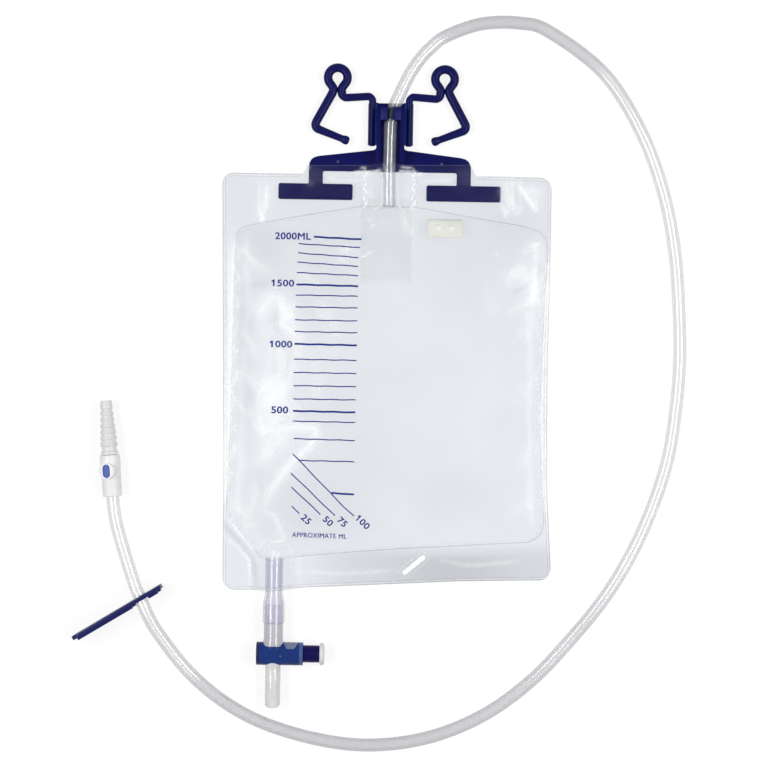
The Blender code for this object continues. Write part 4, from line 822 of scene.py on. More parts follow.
def film_level(x, y):
    """Underside of the front film."""
    pocket_level = PLATE_TOP + TOUCH + 0.0001
    bar_end, bar_foot = 0.0839, HANGER_FOOT - 0.0251
    pocket = INSIDE + (pocket_level - INSIDE) * ease(
        (bar_end + 0.009 - np.abs(x - HANGER_MIDDLE)) / 0.008
    ) * ease((y - bar_foot + 0.008) / 0.007)
    depth = np.maximum(depth_inside(x, y, RESERVOIR), 0.0)
    reach = 0.0255 + 0.0050 * np.sin(y * 88.0 + 0.9) + 0.0030 * np.sin(y * 197.0 + x * 40.0)
    swell = np.sqrt(1 - (1 - np.minimum(1.0, depth / reach)) ** 2)
    rolling = (
        0.00040 * np.sin(x * 61.0 + 1.7 * np.sin(y * 23.0))
        + 0.00028 * np.sin(y * 49.0 + 2.1 * np.sin(x * 31.0 + 0.6))
        + 0.00016 * np.sin((x + y) * 91.0 + 1.1)
    )
    level = INSIDE + settings("films").pillow * swell + ease(depth / 0.020) * (rolling - 0.0007)
    sleeve = np.where(
        (np.abs(x - VALVE_MIDDLE) < VALVE_WIDTH / 2 + 0.003)
        & (y > VALVE_BOTTOM - 0.003) & (y < VALVE_TOP + 0.003),
        INSIDE + 2 * VALVE_FILM + 2 * TOUCH, INSIDE,
    )
    past_top = np.maximum(0.0, y - OUTLET_TOP - 0.004)
    outlet = drape(outlet_offset(x, y), OUTLET_TUBE / 2 + 0.0008, BARREL_Z) - past_top * 0.8
    tube = over_tube(x, y, 0.00145)
    level = np.maximum(np.maximum(level, back_underside(x, y) + FILM + TOUCH), sleeve)
    level = soft_max(outlet, soft_max(tube, soft_max(level, pocket)))
    # folds fade where the film is stretched over a piece
    stretched = ease((0.0007 - np.abs(tube - level)) / 0.001)
    return level + film_details(x, y)[0] * (1 - 0.7 * stretched)


# ---------------------------------------------------------------- the film's grid
# The bag isn't quite a rectangle: its four edges are read at a few places each.
def edge_left(y):
    rows = [BAG_BOTTOM, -0.07, 0.0, 0.07, BAG_TOP]
    return np.interp(y, rows, [-BAG_HALF, -0.1148, -0.1149, -0.1152, -BAG_HALF])


def edge_right(y):
    rows = [BAG_BOTTOM, -0.124, -0.074, 0.0, 0.028, 0.083, 0.1365, BAG_TOP]
    return np.interp(y, rows, [0.1150, 0.1146, 0.1123, 0.1125, 0.1131, 0.1146, BAG_HALF, BAG_HALF])


def corner_drop(x, radius=CORNER):
    """How far the rounded corners at both ends of an edge draw back from it."""
    gaps = [np.clip(BAG_HALF + side * x, 0.0, radius) for side in (1, -1)]
    return sum(radius - np.sqrt(np.maximum(radius**2 - (radius - gap) ** 2, 0.0)) for gap in gaps)


def edge_top(x):
    drop = np.interp(x, [-BAG_HALF, -0.060, 0.070, BAG_HALF], [0.0, 0.0012, 0.0030, 0.0039])
    plain = BAG_TOP - drop
    tab = ease((0.0610 - np.abs(x - 0.0016)) / 0.0042)
    return plain + (TAB_TOP - plain) * tab - corner_drop(x)


def edge_bottom(x):
    plain = np.interp(
        x, [-BAG_HALF, -0.103, -0.085, -0.05, 0.0, 0.05, BAG_HALF],
        [-0.0006, -0.0010, -0.0007, 0.0009, 0.0028, 0.0049, 0.0056],
    )
    return BAG_BOTTOM + plain + corner_drop(x)


SLOT_MIDDLE = (0.0188, -0.1267)
SLOT_END = 0.0016  # radius of its round ends
SLOT_HALF = 0.0098 - SLOT_END  # half of its straight part
SLOT_PITCH = 0.0008
SLOT_LEAN = math.radians(39)
SLOT_COS, SLOT_SIN = math.cos(SLOT_LEAN), math.sin(SLOT_LEAN)


def slot_distance(x, y):
    """Distance from the slot's rounded outline, below 0 inside it."""
    dx, dy = x - SLOT_MIDDLE[0], y - SLOT_MIDDLE[1]
    u, v = dx * SLOT_COS + dy * SLOT_SIN, dy * SLOT_COS - dx * SLOT_SIN
    return np.hypot(u - np.clip(u, -SLOT_HALF, SLOT_HALF), v) - SLOT_END


def closer_lines(lines, middle, reach, step):
    """The same grid lines, with closer ones round a place."""
    close = middle + np.arange(-reach, reach + step / 2, step)
    kept = lines[(lines < close[0] - step / 2) | (lines > close[-1] + step / 2)]
    return np.sort(np.concatenate([kept, close]))


def film_mesh(name, pitch, level):
    """A closed film cut to the bag's outline, lying at level(x, y) and one film thick."""
    near = np.array([0.0, 0.0004, 0.0012, 0.0024, 0.0040, 0.0058])
    inner = np.linspace(CORNER - BAG_HALF, BAG_HALF - CORNER, max(8, round(0.215 / pitch)))
    # the sharp crinkles beside the tube need closer grid lines
    for column in (CRINKLES if pitch < 0.002 else ()):
        inner = closer_lines(inner, at(column[0], 0)[0], 0.0026, 0.0004)
    # and so does the slot
    slot_x, slot_y = SLOT_MIDDLE
    inner = closer_lines(inner, slot_x, 0.0104, SLOT_PITCH)
    columns = np.concatenate([near - BAG_HALF, inner, (BAG_HALF - near)[::-1]])
    count = max(12, round((TAB_TOP - BAG_BOTTOM) / pitch))
    share = np.concatenate([[0, 0.0025], np.linspace(0.006, 0.994, count), [0.9975, 1.0]])
    foot, tall = edge_bottom(slot_x), edge_top(slot_x) - edge_bottom(slot_x)
    share = closer_lines(share, (slot_y - foot) / tall, 0.0096 / tall, SLOT_PITCH / tall)
    low, high = edge_bottom(columns), edge_top(columns)
    y = low + (high - low) * share[:, None]
    left, right = edge_left(y), edge_right(y)
    x = left + (right - left) * (columns + BAG_HALF) / (2 * BAG_HALF)
    # pull the nearest grid points on to the slot's outline
    d, step = slot_distance(x, y), 1e-5
    gx = (slot_distance(x + step, y) - slot_distance(x - step, y)) / (2 * step)
    gy = (slot_distance(x, y + step) - slot_distance(x, y - step)) / (2 * step)
    snap = np.abs(d) < 0.55 * SLOT_PITCH
    x, y = np.where(snap, x - gx * d, x), np.where(snap, y - gy * d, y)
    middle = [(p[:-1, :-1] + p[1:, :-1] + p[:-1, 1:] + p[1:, 1:]) / 4 for p in (x, y)]
    mesh = grid_mesh(name, x, y, level(x, y), slot_distance(*middle) > 0)
    with edited(mesh) as shape:
        loose = [v for v in shape.verts if not v.link_faces]
        bmesh.ops.delete(shape, geom=loose, context="VERTS")
    return mesh


def float_attribute(mesh, name, values):
    layer = mesh.attributes.new(name, "FLOAT", "POINT")
    layer.data.foreach_set("value", np.asarray(values, np.float32))


def points_of(mesh):
    flat = np.zeros(len(mesh.vertices) * 3)
    mesh.vertices.foreach_get("co", flat)
    return flat.reshape(-1, 3)


def paint_film(mesh, strength=1.0):
    """Marks the folds' painted highlights and shade on the film's points, and how far they are from the weld
    and the rim.
    """
    x, y, _ = points_of(mesh).T
    _, whitening_and_highlight, shade = film_details(x, y)
    seam = depth_inside(x, y, RESERVOIR)
    border = np.minimum(
        np.minimum(x - edge_left(y), edge_right(y) - x),
        np.minimum(y - edge_bottom(x), edge_top(x) - y),
    )
    # the strip under the reservoir and the upper corners look a little greyer
    low = ease((at(0, 540)[1] - y) / 0.012) * ease((x - at(285, 0)[0]) / 0.060)
    middle = bell((x - at(452, 0)[0]) / 0.042) * ease((at(0, 553)[1] - y) / 0.006)
    outer = np.maximum((0.36 + 0.40 * middle) * low, 0.06 * ease((y - 0.09) / 0.02))
    corner = 0.30 * bell(np.hypot(x + 0.096, y - 0.094) / 0.030)
    shade = np.maximum(shade, np.where(seam > 0, corner, outer))
    # the tab over the hanger has a plain cut edge
    tab = (y > BAG_TOP - 0.004) & (np.abs(x - 0.0028) < 0.0625) & (border > 0.0007)
    float_attribute(mesh, "whitening_and_highlight", np.clip(whitening_and_highlight * strength, 0, 1))
    float_attribute(mesh, "shade", np.clip(shade * strength, 0, 1))
    float_attribute(mesh, "weld", np.clip(seam * 1000.0, -4, 4))
    float_attribute(mesh, "rim", np.clip(np.where(tab, 0.006, border) * 1000.0, 0, 6))


def add_sheet(name, mesh, finish, slot, node, thickness, offset=1.0, **claims):
    """A sheet of one thickness from a mesh of one of its faces."""
    piece = add_piece(name, mesh, "bag", [finish], (node,), SMOOTH)
    step = piece.modifiers.new("Film thickness", "SOLIDIFY")
    step.thickness = thickness
    step.offset = offset
    apply_modifiers(piece)
    piece.data.shade_smooth()


class DRAINBAG_OT_films(bpy.types.Operator):
    """Make the front and back film of the bag, with their welds, puckers and folds"""

    bl_idname = "drainbag.films"
    bl_label = "Films"

    def execute(self, context):
        film = settings("films")
        looks = (film.tint, film.haze, (0.98, 0.98, 0.985), film.gloss)
        clear = see_through("clear soft film", *looks, lined=True)
        front = film_mesh("front_film_skin", film.pitch, film_level)
        paint_film(front)
        add_sheet("front_film_skin", front, clear, "bag_film", "front_film", FILM,
                  flat=BAG_SIZE, rests_on=["hanger", "drain_tube"], area=BAG_AREA)
        back = film_mesh("back_film_skin", 0.0027, self.under)
        paint_film(back, 0.35)
        add_sheet("back_film_skin", back, clear, "bag_film", "back_film", FILM,
                  flat=BAG_SIZE, rests_on=["front_film_skin"], area=BAG_AREA)
        self.slot_bead(see_through("weld bead", *looks))
        return {"FINISHED"}

    def under(self, x, y):
        """Underside of the back film, with a faint ripple."""
        ripple = 0.00010 + 0.00006 * np.sin(x * 90 + 2 * np.sin(y * 40)) + 0.00004 * np.sin(y * 130)
        return back_underside(x, y) + np.maximum(ripple, 0) * ease((0.105 - np.abs(x)) / 0.02)

    def slot_bead(self, finish):
        """The weld bead round the slot in the bottom strip, with a painted highlight on it."""
        section = (
            (0.0018, 0.00120), (0.0020, 0.00132), (0.0022, 0.00136), (0.0024, 0.00132), (0.0026, 0.00120),
        )
        turns = range(0, 181, 10)
        around = [(side, math.radians(k - 90 * side)) for side in (1, -1) for k in turns]
        points, faces = [], []
        for side, a in around:
            for out, z in section:
                u = side * SLOT_HALF + (SLOT_END + out) * math.cos(a)
                v = (SLOT_END + out) * math.sin(a)
                points.append((SLOT_MIDDLE[0] + u * SLOT_COS - v * SLOT_SIN,
                               SLOT_MIDDLE[1] + u * SLOT_SIN + v * SLOT_COS, z))
        n, m = len(around), len(section)
        for i in range(n):
            this, following = i * m, (i + 1) % n * m
            for k in range(m):
                ahead = (k + 1) % m
                faces.append((this + k, this + ahead, following + ahead, following + k))
        mesh = mesh_from("slot_weld_bead", points, faces)
        tidy_normals(mesh)
        # painted highlight: the bead is pale, and a little greyer
        for name, value in (("whitening_and_highlight", 0.60), ("shade", 0.10)):
            float_attribute(mesh, name, [value] * len(mesh.vertices))
        add_piece("slot_weld_bead", mesh, "bag", [finish], (), SMOOTH)


class DRAINBAG_OT_valve_and_filter(bpy.types.Operator):
    """Make the flap valve on the end of the tube and the vent filter"""

    bl_idname = "drainbag.valve_and_filter"
    bl_label = "Valve and filter"

    def execute(self, context):
        gloss = settings("films").gloss * 0.3
        milky = see_through("valve film", (0.9930, 0.9935, 0.9920), 0.0015, (0.95, 0.95, 0.94), gloss)
        self.flap("front", 0.0, milky)
        self.flap("back", 0.003, milky)
        self.filter()
        return {"FINISHED"}

    def flap(self, face, further, finish):
        xs = VALVE_MIDDLE + VALVE_WIDTH * np.linspace(-0.5, 0.5, 36)
        x, y = np.meshgrid(xs, np.linspace(VALVE_BOTTOM - further, VALVE_TOP, 54))
        if face == "front":
            z = np.maximum(INSIDE + VALVE_FILM + TOUCH, over_tube(x, y, 0.0005))
        else:
            z = np.full(x.shape, INSIDE)
        mesh = grid_mesh(f"valve_{face}_skin", x, y, z)
        side = np.minimum(x - x.min(), x.max() - x).ravel()
        # a faint painted highlight line just inside each side, and a darker line on the cut edge
        float_attribute(mesh, "whitening_and_highlight", 0.05 * bell((side - 0.0022) / 0.0006))
        float_attribute(mesh, "shade", 0.12 * bell(side / 0.0006))
        add_sheet(f"valve_{face}_skin", mesh, finish, "valve_film", f"valve_{face}_flap", VALVE_FILM,
                  flat=(VALVE_WIDTH, float(y.max() - y.min())), rests_on=["drain_tube"])

    def filter(self):
        """A felted patch welded to the front film, with two raised weld dots."""
        middle = (0.0406, BAG_TOP - 0.0398)
        length, width = 0.0243, 0.0126
        x, y = np.meshgrid(np.linspace(-0.5, 0.5, 61) * length, np.linspace(-0.5, 0.5, 33) * width)
        spots = [ease((0.0024 - np.hypot(x - side * 0.00455, y)) / 0.0008) for side in (-1, 1)]
        dots = np.maximum(*spots)
        border = np.minimum(length / 2 - np.abs(x), width / 2 - np.abs(y))
        x, y = x + middle[0], y + middle[1]
        z = film_level(x, y) + FILM + 0.0003 + 0.00035 * ease(border / 0.0015) + 0.0006 * dots
        mesh = grid_mesh("vent_filter_felt", x, y, z)
        float_attribute(mesh, "dot", dots.ravel())
        n = Nodes("filter felt")
        tone = n.ramp(n.noise(160.0, 3.0, 0.6), (0.3, (0.80, 0.805, 0.74)), (0.7, (0.86, 0.87, 0.81)))
        felt = n.finish(n.make(
            "BsdfPrincipled", Base_Color=n.mix(n.attribute("dot"), tone, (0.92, 0.925, 0.885)),
            Roughness=0.85, Normal=n.bump(n.noise(1400.0, 4.0, 0.7), 0.6, 0.00008), Specular_IOR_Level=0.2,
        ))
        add_sheet("vent_filter_felt", mesh, felt, "filter_felt", "vent_filter", 0.0003, -1.0,
                  flat=(length, width), rests_on=["front_film_skin"])


# ---------------------------------------------------------------- the print
# The lines of the scale, as runs of places on the drawing grid
THICK = [((314, 237.3), (361.5, 239.9)), ((296.8, 284.8), (358.2, 286.6)),
         ((294.8, 344.1), (357, 345.5)), ((293.5, 410.8), (355.4, 412.4)), ((331.8, 492.5), (354.1, 494.3))]
THIN = [((299, 244.2), (360, 248)), ((298.3, 253.4), (358.5, 258)), ((297.9, 262.6), (358, 266.8)),
        ((297.2, 273), (358, 276)), ((296, 295.3), (357.8, 296.6)), ((295.8, 307.1), (357.6, 308.4)),
        ((295.4, 320), (357.3, 321.3)), ((295, 331.7), (357.2, 333)), ((294.2, 359.3), (356.6, 360.5)),
        ((294, 372.5), (356.4, 373.6)), ((293.8, 385.6), (356, 386.8)), ((293.6, 398.8), (355.6, 400)),
        ((293.5, 421), (355.2, 422.4)), ((293.9, 438.4), (354.8, 440.4)), ((299.9, 460.2), (354.4, 461.5)),
        ((293.2, 453.6), (342.7, 505.2), (354.1, 515.7)), ((291.3, 472.7), (335, 515.2)),
        ((291.8, 486.6), (320.7, 514)), ((292, 505.9), (299.7, 513.1))]
# (words, middle of the label, height, turn in degrees, share of the usual width)
LABELS = [("2000ML", (293.2, 236.9), 7.0, -1, 1.08), ("1500", (283.0, 283.8), 6.7, -1, 1.20),
          ("1000", (281.2, 344.6), 6.6, -1, 1.20), ("500", (280.0, 410.2), 6.9, -1, 1.16),
          ("25", (306.3, 519.2), 6.6, -42, 1.12), ("50", (328.0, 520.9), 6.6, -43, 1.12),
          ("75", (342.3, 521.8), 6.6, -44, 1.12), ("100", (362.5, 521.9), 6.4, -44, 1.20),
          ("APPROXIMATE ML", (319.6, 535.4), 5.0, -2, 0.92)]


class DRAINBAG_OT_print(bpy.types.Operator):
    """Print the plain graduations on the front film"""

    bl_idname = "drainbag.print"
    bl_label = "Graduations"

    def execute(self, context):
        ink = self.ink(settings("films").print_colour)
        skin = bpy.data.objects["front_film_skin"].data
        self.film = BVHTree.FromPolygons(
            [v.co for v in skin.vertices], [list(p.vertices) for p in skin.polygons]
        )
        lines = bpy.data.meshes.new("graduation_lines")
        with edited(lines) as shape:
            for runs, width in ((THICK, 0.00135), (THIN, 0.00080)):
                for run in runs:
                    self.stroke(shape, places(run), width)
        numbers = join_meshes("graduation_numbers", [self.words(*label) for label in LABELS])
        for mesh in (lines, numbers):
            add_piece(mesh.name, mesh, "bag", [ink], (), SMOOTH)
        return {"FINISHED"}

    def stroke(self, shape, points, width):
        """A printed line that lies on the film."""
        dense = []
        for (ax, ay), (bx, by) in zip(points, points[1:]):
            count = max(2, round(math.hypot(bx - ax, by - ay) / 0.0009))
            for k in range(count):
                t = k / count
                dense.append((ax + (bx - ax) * t, ay + (by - ay) * t))
        dense = np.array([*dense, points[-1]])
        along = np.gradient(dense, axis=0)
        along /= np.linalg.norm(along, axis=1)[:, None]
        across = np.stack([-along[:, 1], along[:, 0]], 1)
        # the ink wanders a little with the film
        sway = 0.00012 * np.sin(dense[:, 0] * 420.0 + dense[:, 1] * 90.0)
        dense = dense + across * sway[:, None]
        rows = [
            [shape.verts.new((*xy, self.level(*xy))) for xy in dense + across * (offset * width)]
            for offset in (-0.5, 0.0, 0.5)
        ]
        for low, high in zip(rows, rows[1:]):
            for k in range(len(dense) - 1):
                shape.faces.new((low[k], low[k + 1], high[k + 1], high[k]))

    def level(self, x, y):
        """Just above the film at a place."""
        return self.film.ray_cast(Vector((x, y, 0.1)), Vector((0.0, 0.0, -1.0)))[0].z + 0.00014

    def words(self, text, middle, height, turn, wide):
        curve = bpy.data.curves.new("label", "FONT")
        curve.body = text
        curve.align_x = curve.align_y = "CENTER"
        curve.space_character = 1.06
        curve.resolution_u = 4
        holder = linked("label", curve)
        mesh = evaluated_mesh(holder)
        bpy.data.objects.remove(holder)
        bpy.data.curves.remove(curve)
        # the letters are filled at full size, because a tiny one would close up
        size = height * PITCH * 1.38
        mesh.transform(Matrix.Diagonal((size, size, size, 1.0)))
        with edited(mesh) as shape:
            if text.startswith("1"):
                # the built-in font's 1 is a plain bar, so it gets its flag here
                left = min(v.co.x for v in shape.verts)
                top = max(v.co.y for v in shape.verts)
                flag = ((0.02, 0.0), (-0.14, -0.14), (-0.14, -0.26), (0.02, -0.15))
                shape.faces.new([shape.verts.new((left + a * size, top + b * size, 0.0)) for a, b in flag])
            bmesh.ops.triangulate(shape, faces=shape.faces)
            long = [e for e in shape.edges if e.calc_length() > 0.0012]
            bmesh.ops.subdivide_edges(shape, edges=long, cuts=1)
            bmesh.ops.triangulate(shape, faces=shape.faces)
        mesh.transform(
            Matrix.Translation((*at(*middle), 0.0)) @ Matrix.Rotation(math.radians(turn), 4, "Z")
            @ Matrix.Diagonal((wide, 1.0, 1.0, 1.0))
        )
        co = points_of(mesh)
        co[:, 2] = [self.level(x, y) for x, y in co[:, :2]]
        mesh.vertices.foreach_set("co", co.ravel())
        mesh.update()
        # the bold stroke is a few printings of the same word, set a little apart
        sides = ((1, 0), (-1, 0), (0, 0.8), (0, -0.8), (0.7, 0.6), (-0.7, -0.6))
        reach, sides = (0.00019, sides) if height > 5 else (0.00010, sides[:2])
        bold = [mesh]
        for k, (dx, dy) in enumerate(sides):
            again = mesh.copy()
            again.transform(Matrix.Translation((dx * reach, dy * reach, 0.000006 * (k + 1))))
            bold.append(again)
        return join_meshes("label", bold)

    def ink(self, colour):
        n = Nodes("blue ink")
        worn = n.noise(300.0, 4.0, 0.65)
        return n.finish(n.make(
            "BsdfPrincipled", Base_Color=n.tone(worn, colour, 1.35, 1.0, last=0.65), Roughness=0.5,
            Normal=n.bump(worn, 0.2, 0.00002), Specular_IOR_Level=0.08,
        ))


# ---------------------------------------------------------------- swept pieces
def sweep_tree(name):
    """A node tree that sweeps a round section along a curve, with the curve's own radius."""
    tree = bpy.data.node_groups.new(name, "GeometryNodeTree")
    sockets = (
        ("Geometry", "INPUT", "Geometry"), ("Outside diameter", "INPUT", "Float"), ("Bore", "INPUT", "Float"),
        ("Sides", "INPUT", "Int"), ("Outer finish", "INPUT", "Material"),
        ("Inner finish", "INPUT", "Material"), ("Geometry", "OUTPUT", "Geometry"),
    )
    for label, way, kind in sockets:
        tree.interface.new_socket(label, in_out=way, socket_type=f"NodeSocket{kind}")
    nodes, links = tree.nodes, tree.links
    source = nodes.new("NodeGroupInput").outputs

    def step(kind, **inputs):
        node = nodes.new(kind)
        for key, value in inputs.items():
            links.new(value, node.inputs[key.replace("_", " ")])
        return node.outputs[0]

    def wall(size, finish, filled):
        half = step("ShaderNodeMath", Value=source[size])
        half.node.operation = "MULTIPLY"
        half.node.inputs[1].default_value = 0.5
        ring = step("GeometryNodeCurvePrimitiveCircle", Resolution=source["Sides"], Radius=half)
        swept = step("GeometryNodeCurveToMesh", Curve=source["Geometry"], Profile_Curve=ring)
        if "Scale" in swept.node.inputs:
            links.new(step("GeometryNodeInputRadius"), swept.node.inputs["Scale"])
        swept.node.inputs["Fill Caps"].default_value = filled
        return step("GeometryNodeSetMaterial", Geometry=swept, Material=source[finish])

    hollow = name.endswith("tube")
    swept = wall("Outside diameter", "Outer finish", not hollow)
    if hollow:
        inner = step("GeometryNodeFlipFaces", Mesh=wall("Bore", "Inner finish", False))
        join = step("GeometryNodeJoinGeometry", Geometry=inner)
        links.new(swept, join.node.inputs[0])
        swept = join
    links.new(step("GeometryNodeRealizeInstances", Geometry=swept), nodes.new("NodeGroupOutput").inputs[0])
    return tree


def swept_mesh(name, tree, points, radii, inputs):
    """Runs the tree on a curve through the points, and returns a plain mesh."""
    curve = bpy.data.curves.new(name, "CURVE")
    curve.dimensions = "3D"
    spline = curve.splines.new("POLY")
    spline.points.add(len(points) - 1)
    for point, place, radius in zip(spline.points, points, radii):
        point.co = (*place, 1.0)
        point.radius = float(radius)
    holder = linked(name, curve)
    sweep = holder.modifiers.new("Sweep", "NODES")
    sweep.node_group = tree
    for item in tree.interface.items_tree:
        if item.in_out == "INPUT" and item.name in inputs:
            sweep[item.identifier] = inputs[item.name]
    mesh = evaluated_mesh(holder)
    mesh.name = name
    bpy.data.objects.remove(holder)
    bpy.data.curves.remove(curve)
    return mesh


def connector_axis():
    return Vector((-math.sin(CONNECTOR_TURN), math.cos(CONNECTOR_TURN), 0.0))


def tube_route():
    """The middle of the tube: from the flap valve, round the bag, to the connector."""
    channel = PLATE_TOP + TOUCH + TUBE / 2
    floor = TUBE / 2
    route = [(TUBE_MIDDLE, y, float(tube_height(np.array(y)))) for y in (TUBE_END, 0.1340, 0.1440, 0.1490)]
    route += [
        (0.0019, 0.1620, channel), (0.0023, 0.1770, channel), (0.0030, 0.1850, channel),
        (0.0046, 0.1925, channel), (0.0064, 0.1972, 0.0075), (0.0113, 0.2076, 0.0069),
        (0.0163, 0.2173, 0.0061), (0.0224, 0.2265, 0.0053), (0.0294, 0.2344, 0.0047),
    ]
    route += [(x, y, floor) for x, y in (
        (0.0413, 0.2437), (0.0661, 0.2523), (0.0931, 0.2529), (0.1136, 0.2468), (0.1516, 0.2179),
        (0.1774, 0.1777), (0.1932, 0.1351), (0.2013, 0.0933), (0.2042, 0.0541), (0.2048, 0.0175),
        (0.2020, -0.0178), (0.1964, -0.0522), (0.1858, -0.0855), (0.1713, -0.1179), (0.1524, -0.1490),
        (0.1287, -0.1781), (0.1012, -0.2069), (0.0673, -0.2314), (0.0277, -0.2472), (-0.0153, -0.2522),
        (-0.0582, -0.2459), (-0.0991, -0.2309), (-0.1341, -0.2056),
    )]
    foot = Vector(CONNECTOR_FOOT)
    route += [
        (-0.1605, -0.1720, 0.5 * (floor + CLAMP_HOLE[2]) + 0.0016), CLAMP_HOLE,
        (-0.1777, -0.1344, CLAMP_HOLE[2] - 0.0005),
        (-0.1884, -0.0985, 0.5 * (CLAMP_HOLE[2] + CONNECTOR_FOOT[2])),
        tuple(foot + connector_axis() * 0.0005), tuple(foot + connector_axis() * 0.0117),
    ]
    return route


class DRAINBAG_OT_drain_tube(bpy.types.Operator):
    """Make the drain tube, from the flap valve round the bag to the connector"""

    bl_idname = "drainbag.drain_tube"
    bl_label = "Drain tube"

    def execute(self, context):
        tube = settings("tube")
        path = smooth_route(tube_route(), 0.0017)
        path[:, 2] = np.maximum(path[:, 2], tube.diameter / 2)
        outer = tube_wall(
            "tube wall", tube.tint,
            ((0.0, 0.22), (0.15, 0.26), (0.35, 0.34), (0.60, 0.44), (0.85, 0.42), (1.0, 0.22)), 0.105, 0.09,
        )
        inner = tube_wall(
            "tube bore", (0.62, 0.62, 0.66),
            ((0.0, 0.02), (0.30, 0.05), (0.55, 0.10), (0.80, 0.22), (1.0, 0.30)), 0.012,
        )
        mesh = swept_mesh(
            "drain_tube_wall", sweep_tree("Swept tube"), path, [1.0] * len(path),
            {"Outside diameter": tube.diameter, "Bore": tube.bore, "Sides": tube.sides,
             "Outer finish": outer, "Inner finish": inner},
        )
        self.close_ends(mesh)
        co = points_of(mesh)
        # painted shade, only on the stretch of the tube that lies in the hanger's channel: darker there,
        # darkest under the fingers
        beside = np.abs(co[:, 0] - 0.0035) < 0.012
        for name, share, low, up, high, down in (
            ("clip", 1.0, 0.1836, 0.0009, 0.1942, 0.0012), ("deep", 0.93, 0.1500, 0.0030, 0.2000, 0.0040),
        ):
            here = share * ease((co[:, 1] - low) / up) * ease((high - co[:, 1]) / down)
            float_attribute(mesh, name, here * beside)
        tangents = np.gradient(path, axis=0)
        tangents /= np.linalg.norm(tangents, axis=1)[:, None]
        tree = KDTree(len(path))
        for k, place in enumerate(path):
            tree.insert(place, k)
        tree.balance()
        nearest = [tree.find(place)[1] for place in co]
        layer = mesh.attributes.new("along", "FLOAT_VECTOR", "POINT")
        layer.data.foreach_set("vector", tangents[nearest].astype(np.float32).ravel())
        piece = add_piece("drain_tube_wall", mesh, "bag", None, ("drain_tube",), SMOOTH)
        return {"FINISHED"}

    def close_ends(self, mesh):
        """Joins the outer wall to the bore with a ring at each end."""
        middle = Vector(tube_route()[0])
        with edited(mesh) as shape:
            edges = [e for e in shape.edges if len(e.link_faces) == 1]
            for near in (True, False):
                ring = [e for e in edges if ((e.verts[0].co - middle).length < 0.02) == near]
                bmesh.ops.bridge_loops(shape, edges=ring)


# ---------------------------------------------------------------- mouldings
def merged_copy(node, name):
    """A copy of a CAD node with its loose triangles merged and its flat faces joined."""
    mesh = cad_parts[node].data.copy()
    mesh.name = name
    with edited(mesh) as shape:
        bmesh.ops.remove_doubles(shape, verts=shape.verts, dist=0.000005)
        bmesh.ops.dissolve_limit(
            shape, angle_limit=math.radians(1.0), verts=shape.verts, edges=shape.edges,
            use_dissolve_boundaries=False,
        )
        bmesh.ops.recalc_face_normals(shape, faces=shape.faces)
    return mesh


def dress(node, name, body, finishes, width, segments=2, cut=None):
    """Makes a piece from a CAD node, with its edges rounded."""
    mesh = merged_copy(node, name)
    if cut:
        cut(mesh)
    piece = add_piece(name, mesh, body, finishes, (node,))
    step = piece.modifiers.new("Rounded edges", "BEVEL")
    step.width = width
    step.segments = segments
    step.limit_method = "ANGLE"
    step.angle_limit = math.radians(35)
    apply_modifiers(piece)
    piece.data.shade_smooth()
    piece.data.set_sharp_from_angle(angle=math.radians(38))
    return piece.data


def hanger_matrix():
    return Matrix.Translation((HANGER_MIDDLE, HANGER_FOOT, 0.0)) @ Matrix.Rotation(HANGER_LEAN, 4, "Z")


def arc(centre, radius, first, last, steps):
    """Points round a centre, between two angles in degrees."""
    turns = [math.radians(first + (last - first) * k / steps) for k in range(steps + 1)]
    return [tuple(centre + radius * Vector((math.cos(a), math.sin(a)))) for a in turns]


def hook_route():
    """The middle line of a hook's rod, from the foot of its leg to its tip, and its width there.

    X runs away from the leg and Y up along it. The widths are shares of the rod's own.
    """
    # the leg's foot, the radii of its bend and of the turn under the ring, and the arm's height
    foot, bend, turn, arm = 0.0177, 0.0033, 0.0034, 0.0523
    ring = Vector((0.0375 - HOOK_AXIS, 0.0653))
    neck = HOOK_LOOP_ROD / 2 - 0.00004
    route = [(0.0, foot + s) for s in (0.0, 0.0007, 0.0020, 0.010, 0.020)]
    route += arc(Vector((bend, arm - bend)), bend, 180, 90, 4)
    before = Vector((ring.x - neck - turn, arm - 0.0010 + turn))
    route.append((0.5 * (bend + before.x), arm - 0.0005))
    route += arc(before, turn, -90, 0, 4)
    route.append((ring.x - neck, 0.0577))
    route += arc(ring, 0.0068, -136, -404, 20)
    route += [(ring.x + neck, 0.0577), (ring.x + neck + 0.0001, 0.0560), (ring.x + neck + 0.0007, 0.0541)]
    elbow = Vector((0.0541 - HOOK_AXIS, 0.0303))
    tip = Vector((0.0314 - HOOK_AXIS, 0.0216))
    into, out = (Vector(route[-1]) - elbow).normalized(), (tip - elbow).normalized()
    route += [elbow + into * 0.020, elbow + into * 0.013]
    for k in range(5):
        t = k / 4
        route.append((elbow + into * 0.0050 * (1 - t)).lerp(elbow + out * 0.0050 * t, t))
    route.append(elbow.lerp(tip, 0.60))
    route += [tip - out * s for s in (0.0034, 0.0022, 0.0, -0.0018, -0.0026)]
    widths = [1.0] * 11 + [HOOK_LOOP_ROD / HOOK_ROD] * (len(route) - 11)
    widths[:3] = [0.62, 0.88, 1.0]
    widths[8:16] = [1.02, 1.04, 1.05, 1.06, 1.08, 1.11, 1.15, 1.18]
    widths[-7:] = [1.12, 1.02, 0.96, 1.04, 1.20, 1.03, 0.55]
    return route, widths


EJECTOR_MARKS = places(((337.9, 161.5), (441.8, 164.0)))


